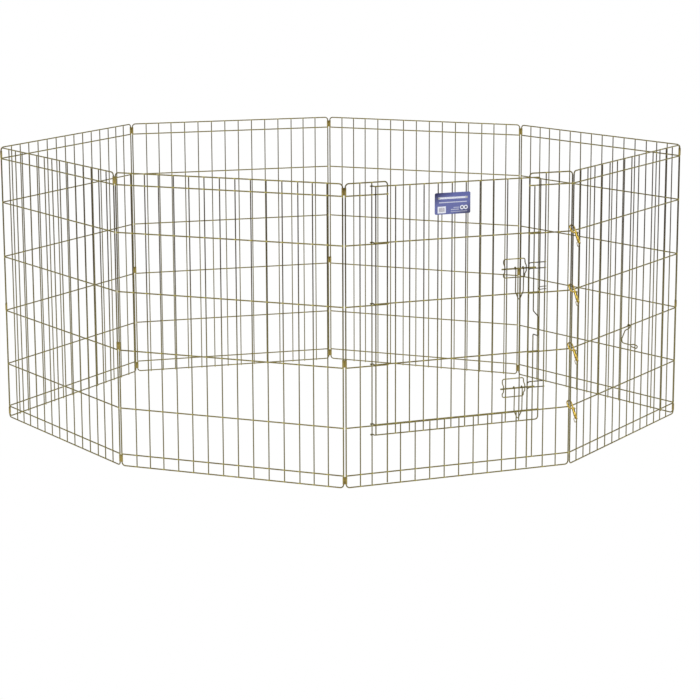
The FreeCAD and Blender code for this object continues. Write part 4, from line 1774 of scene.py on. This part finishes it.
    def build(self) -> None:
        """Draw the snap and hang its pieces on their bodies."""
        stem = "snap_%d" % self.number
        shell = self.shop.piece(self.barrel_mesh(), stem + "_barrel", stem, Slot.SNAP_ZINC, None, self.place)
        cast = self.shop.piece(self.casting(), stem + "_casting", stem, Slot.SNAP_ZINC, None, self.place)
        for made, cutter_mesh in ((shell, self.slot_cutter()), (cast, self.hole_cutter())):
            cutter = self.shop.piece(cutter_mesh, stem + "_cutter", stem, Slot.SNAP_ZINC, None, self.place)
            cut_away(made, cutter)
        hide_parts(stem + "_body")
        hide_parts(stem + "_body")
        bolt = stem + "_bolt"
        self.shop.piece(self.bolt(), bolt + "_knob", bolt, Slot.SNAP_ZINC, bolt, self.place)
        self.shop.piece(self.spring(), stem + "_coil", stem, Slot.SPRING_STEEL, stem + "_spring", self.place)
        self.shop.piece(self.ring(), stem + "_ring_wire", stem + "_ring", Slot.SNAP_ZINC, stem + "_ring")


# --------------------------------------------------------------------------- storage hook


@dataclass
class StorageHook:
    """The loose hook that holds the pen shut when it is folded, hung on a rail of the right front panel."""

    shop: Workshop
    panel: Panel
    x: float = 319.0 * MM
    rail_index: int = 2
    diameter: float = 3.0 * MM
    clear: float = 0.3 * MM
    swing: float = 10.4666
    route: tuple[tuple[float, float], ...] = (
        (3.4, -5.0),
        (-8.0, -16.0),
        (-13.0, -42.0),
        (-9.0, -51.0),
        (14.0, -50.0),
        (25.0, -45.0),
        (36.0, -46.0),
        (35.0, -54.0),
        (16.0, -53.3),
    )
    bends: tuple[float, ...] = (3.0, 4.0, 8.0, 5.0, 8.0, 4.0, 3.4, 3.4)

    def build(self) -> None:
        """Draw the hook and hang it on its body."""
        mesh = bmesh.new()
        outward = Vector((0.0, -1.0, 0.0))
        pivot = Vector((self.x, 0.0, self.panel.rails_at[self.rail_index]))
        eye_radius = self.panel.rail_d / 2 + self.clear + self.diameter / 2
        eye = eye_corners(pivot, UP, outward, eye_radius)[::-1]
        points = eye + [pivot + (outward * out + UP * high) * MM for out, high in self.route]
        bends = [eye_radius] * 3 + [bend * MM for bend in self.bends]
        Wire(mesh, self.diameter, 16).follow(points, bends)
        soften_ends(mesh, 16, 0.4 * MM)
        turn = Matrix.Rotation(math.radians(self.swing), 3, "X")
        bmesh.ops.rotate(mesh, cent=pivot, matrix=turn, verts=mesh.verts[:])
        place = self.panel.place.matrix()
        self.shop.piece(mesh, "storage_hook_wire", "storage_hook", Slot.RAIL_WIRE, "storage_hook", place)


# --------------------------------------------------------------------------- studio


@dataclass
class Studio:
    """The pale floor, the soft lights and the camera."""

    eye: tuple[float, float, float] = (-1.86386, -5.24956, 1.48630)
    yaw: float = 0.3460
    pitch: float = 0.1804
    roll: float = -0.0031
    lens: float = 105.34
    shift: float = -0.143
    sensor: float = 36.0
    floor_half: float = 40.0

    def floor(self) -> None:
        """Lay the floor."""
        mesh = bmesh.new()
        bmesh.ops.create_grid(mesh, x_segments=1, y_segments=1, size=self.floor_half)
        data = bpy.data.meshes.new("floor")
        mesh.to_mesh(data)
        mesh.free()
        made = bpy.data.objects.new("floor", data)
        bpy.context.scene.collection.objects.link(made)
        paint = bpy.data.materials.new("floor")
        paint.use_nodes = True
        shader = paint.node_tree.nodes["Principled BSDF"]
        shader.inputs["Base Color"].default_value = (0.0, 0.0, 0.0, 1.0)
        shader.inputs["Emission Color"].default_value = (1.0, 1.0, 1.0, 1.0)
        shader.inputs["Emission Strength"].default_value = 1.0
        shader.inputs["Roughness"].default_value = 0.9
        shader.inputs["Specular IOR Level"].default_value = 0.0
        data.materials.append(paint)

    def world(self) -> None:
        """Fill the room with soft pale light."""
        world = bpy.data.worlds.new("studio")
        bpy.context.scene.world = world
        world.use_nodes = True
        tree = world.node_tree
        back = tree.nodes["Background"]
        ray = node(tree, "ShaderNodeTexCoord", {}, {}, "Generated")
        rise = node(tree, "ShaderNodeSeparateXYZ", {}, {0: ray}, "Z")
        room = [
            (0.0, (0.26, 0.26, 0.25, 1.0)),
            (0.3, (0.42, 0.42, 0.41, 1.0)),
            (0.85, (0.95, 0.95, 0.95, 1.0)),
        ]
        around = node(tree, "ShaderNodeValToRGB", {"stops": room}, {0: rise})
        seen = node(tree, "ShaderNodeLightPath", {}, {}, "Is Camera Ray")
        colour = blend_colours(tree, seen, around, (1.0, 1.0, 1.0, 1.0))
        tree.links.new(colour.socket, back.inputs["Color"])
        back.inputs["Strength"].default_value = 1.0

    def lamp(self, name: str, place: Vector, aim: Vector, size: float, power: float) -> None:
        """Hang one soft lamp.

        Args:
            name: The lamp's name.
            place: Where it hangs.
            aim: What it points at.
            size: Its side.
            power: Its power in watts.
        """
        data = bpy.data.lights.new(name, "AREA")
        data.shape = "SQUARE"
        data.size = size
        data.energy = power
        made = bpy.data.objects.new(name, data)
        bpy.context.scene.collection.objects.link(made)
        made.location = place
        made.rotation_mode = "QUATERNION"
        made.rotation_quaternion = (aim - place).to_track_quat("-Z", "Y")

    def camera(self) -> None:
        """Set the camera."""
        data = bpy.data.cameras.new("camera")
        data.lens = self.lens
        data.sensor_width = self.sensor
        data.shift_y = self.shift
        data.clip_start = 0.05
        data.clip_end = 200.0
        made = bpy.data.objects.new("camera", data)
        bpy.context.scene.collection.objects.link(made)
        ahead = Vector((
            math.sin(self.yaw) * math.cos(self.pitch),
            math.cos(self.yaw) * math.cos(self.pitch),
            -math.sin(self.pitch),
        ))
        made.location = self.eye
        made.rotation_mode = "QUATERNION"
        turn = ahead.to_track_quat("-Z", "Y").to_matrix() @ Matrix.Rotation(self.roll, 3, "Z")
        made.rotation_quaternion = turn.to_quaternion()
        bpy.context.scene.camera = made

    def build(self) -> None:
        """Set up the whole studio."""
        self.floor()
        self.world()
        middle = Vector((0.0, 0.0, 0.35))
        self.lamp("key", Vector((-3.0, -3.5, 4.5)), middle, 3.0, 120.0)
        self.lamp("fill", Vector((4.0, -2.0, 3.5)), middle, 3.0, 60.0)
        self.camera()
        bpy.context.scene.view_settings.view_transform = "Standard"


# --------------------------------------------------------------------------- the whole pen


def finishes(door: Door, card: LabelCard) -> dict[Slot, bpy.types.Material]:
    """Make every finish.

    Args:
        door: The door, whose place sets the card's print.
        card: The card.

    Returns:
        The materials by slot.
    """
    middle = door.panel.place.matrix() @ Vector((sum(card.xs) / 2, card.front, sum(card.zs) / 2))
    made = [
        ZincFinish(
            Slot.RAIL_WIRE,
            gold=(0.225, 0.185, 0.048, 1.0),
            olive=(0.205, 0.190, 0.060, 1.0),
            brown=(0.13, 0.100, 0.030, 1.0),
            weld=(0.46, 0.40, 0.11, 1.0),
            grain=Grain.LEVEL,
        ),
        # The bars are the same zinc wire as the rails but are given much darker colours: a painted shade on
        # the upright bars.
        ZincFinish(
            Slot.BAR_WIRE,
            gold=(0.085, 0.066, 0.026, 1.0),
            olive=(0.085, 0.076, 0.036, 1.0),
            brown=(0.050, 0.037, 0.018, 1.0),
            weld=(0.42, 0.37, 0.12, 1.0),
            grain=Grain.UPRIGHT,
        ),
        ZincFinish(
            Slot.CLIP_ZINC,
            gold=(0.36, 0.28, 0.075, 1.0),
            olive=(0.31, 0.27, 0.085, 1.0),
            brown=(0.17, 0.12, 0.035, 1.0),
            weld=(0.36, 0.31, 0.10, 1.0),
            grain=Grain.NONE,
            roughness=0.30,
        ),
        ZincFinish(
            Slot.SNAP_ZINC,
            gold=(0.52, 0.37, 0.050, 1.0),
            olive=(0.46, 0.36, 0.075, 1.0),
            brown=(0.30, 0.19, 0.035, 1.0),
            weld=(0.52, 0.38, 0.08, 1.0),
            grain=Grain.NONE,
            roughness=0.28,
            metallic=0.85,
        ),
        ZincFinish(
            Slot.SPRING_STEEL,
            gold=(0.52, 0.52, 0.53, 1.0),
            olive=(0.60, 0.60, 0.61, 1.0),
            brown=(0.38, 0.38, 0.40, 1.0),
            weld=(0.52, 0.52, 0.53, 1.0),
            grain=Grain.NONE,
            roughness=0.26,
            metallic=0.95,
        ),
        CardFinish(
            Slot.LABEL,
            centre=(middle.x, middle.z),
            half_width=(card.xs[1] - card.xs[0]) / 2,
            half_height=(card.zs[1] - card.zs[0]) / 2,
        ),
    ]
    return {finish.slot: finish.material() for finish in made}


def clip_place(before: Place, after: Place, width: float) -> Matrix:
    """Where a corner's clips stand: midway between the side wires, x from one to the other.

    Args:
        before: The panel before the corner.
        after: The panel after it.
        width: Between a panel's side wires.

    Returns:
        The clips' own frame in the row frame.
    """
    start = before.end(width)
    across = after.origin - start
    angle = math.atan2(across.y, across.x)
    return Matrix.Translation((start + after.origin) / 2) @ Matrix.Rotation(angle, 4, "Z")


def snap_place(door: Place, right: Place, width: float, height: float) -> Matrix:
    """Where a bolt snap hangs on the open corner, tilted down and turned a little.

    Args:
        door: The door panel's place.
        right: The right front panel's place.
        width: Between a panel's side wires.
        height: The rail's height.

    Returns:
        The snap's own frame in the row frame.
    """
    tilt = math.radians(55.0)
    turn = math.radians(10.0)
    rise = 6.5 * MM
    start = door.end(width)
    across = (right.origin - start).normalized()
    outward = Vector((across.y, -across.x, 0.0))
    down = outward * math.cos(tilt) - UP * math.sin(tilt)
    along = down * math.cos(turn) - across * math.sin(turn)
    side = across * math.cos(turn) + down * math.sin(turn)
    axes = Matrix((along, side, along.cross(side))).transposed().to_4x4()
    return Matrix.Translation((start + right.origin) / 2 + UP * (height + rise)) @ axes


def main() -> None:
    """Build the pen and the studio, piece by piece."""
    plan = PenPlan()
    places = plan.places()
    shop = Workshop()
    door_panel = DoorPanel(shop, "door_panel", places["door_panel"], plan.width)
    door = Door(shop, door_panel)
    door_panel.catch_tip_y = door.bolt_y - door.bolt_d / 2 - 0.5 * MM - door.latch_d / 2
    card = LabelCard(shop, door)
    shop.finishes = finishes(door, card)
    panels = {"door_panel": door_panel}
    for name, _ in plan.ring[1:]:
        panels[name] = Panel(shop, name, places[name], plan.width)
    for panel in panels.values():
        panel.build()
        log.info("%s drawn", panel.name)
    door.build()
    card.build()
    rails = door_panel.rails_at
    above = door_panel.rail_d / 2
    low, high = plan.clip_gaps
    feet = [plan.clip_foot, rails[2] + above + low, rails[5] + above + high]
    names = [name for name, _ in plan.ring] + ["door_panel"]
    corners = dict(plan.corners)
    for before, after in zip(names, names[1:]):
        if before in corners:
            place = clip_place(places[before], places[after], plan.width)
            HingeClips(shop, corners[before], place, plan.clip_pitch, feet).build()
    for number, rail_index in enumerate((4, 3, 2, 1), 1):
        place = snap_place(places["door_panel"], places["right_front_panel"], plan.width, rails[rail_index])
        BoltSnap(shop, number, place).build()
    StorageHook(shop, panels["right_front_panel"]).build()
    Studio().build()
    log.info("%d pieces made", shop.count)


if __name__ == "__main__":
    logging.basicConfig(level=logging.INFO, format="%(message)s")
    main()
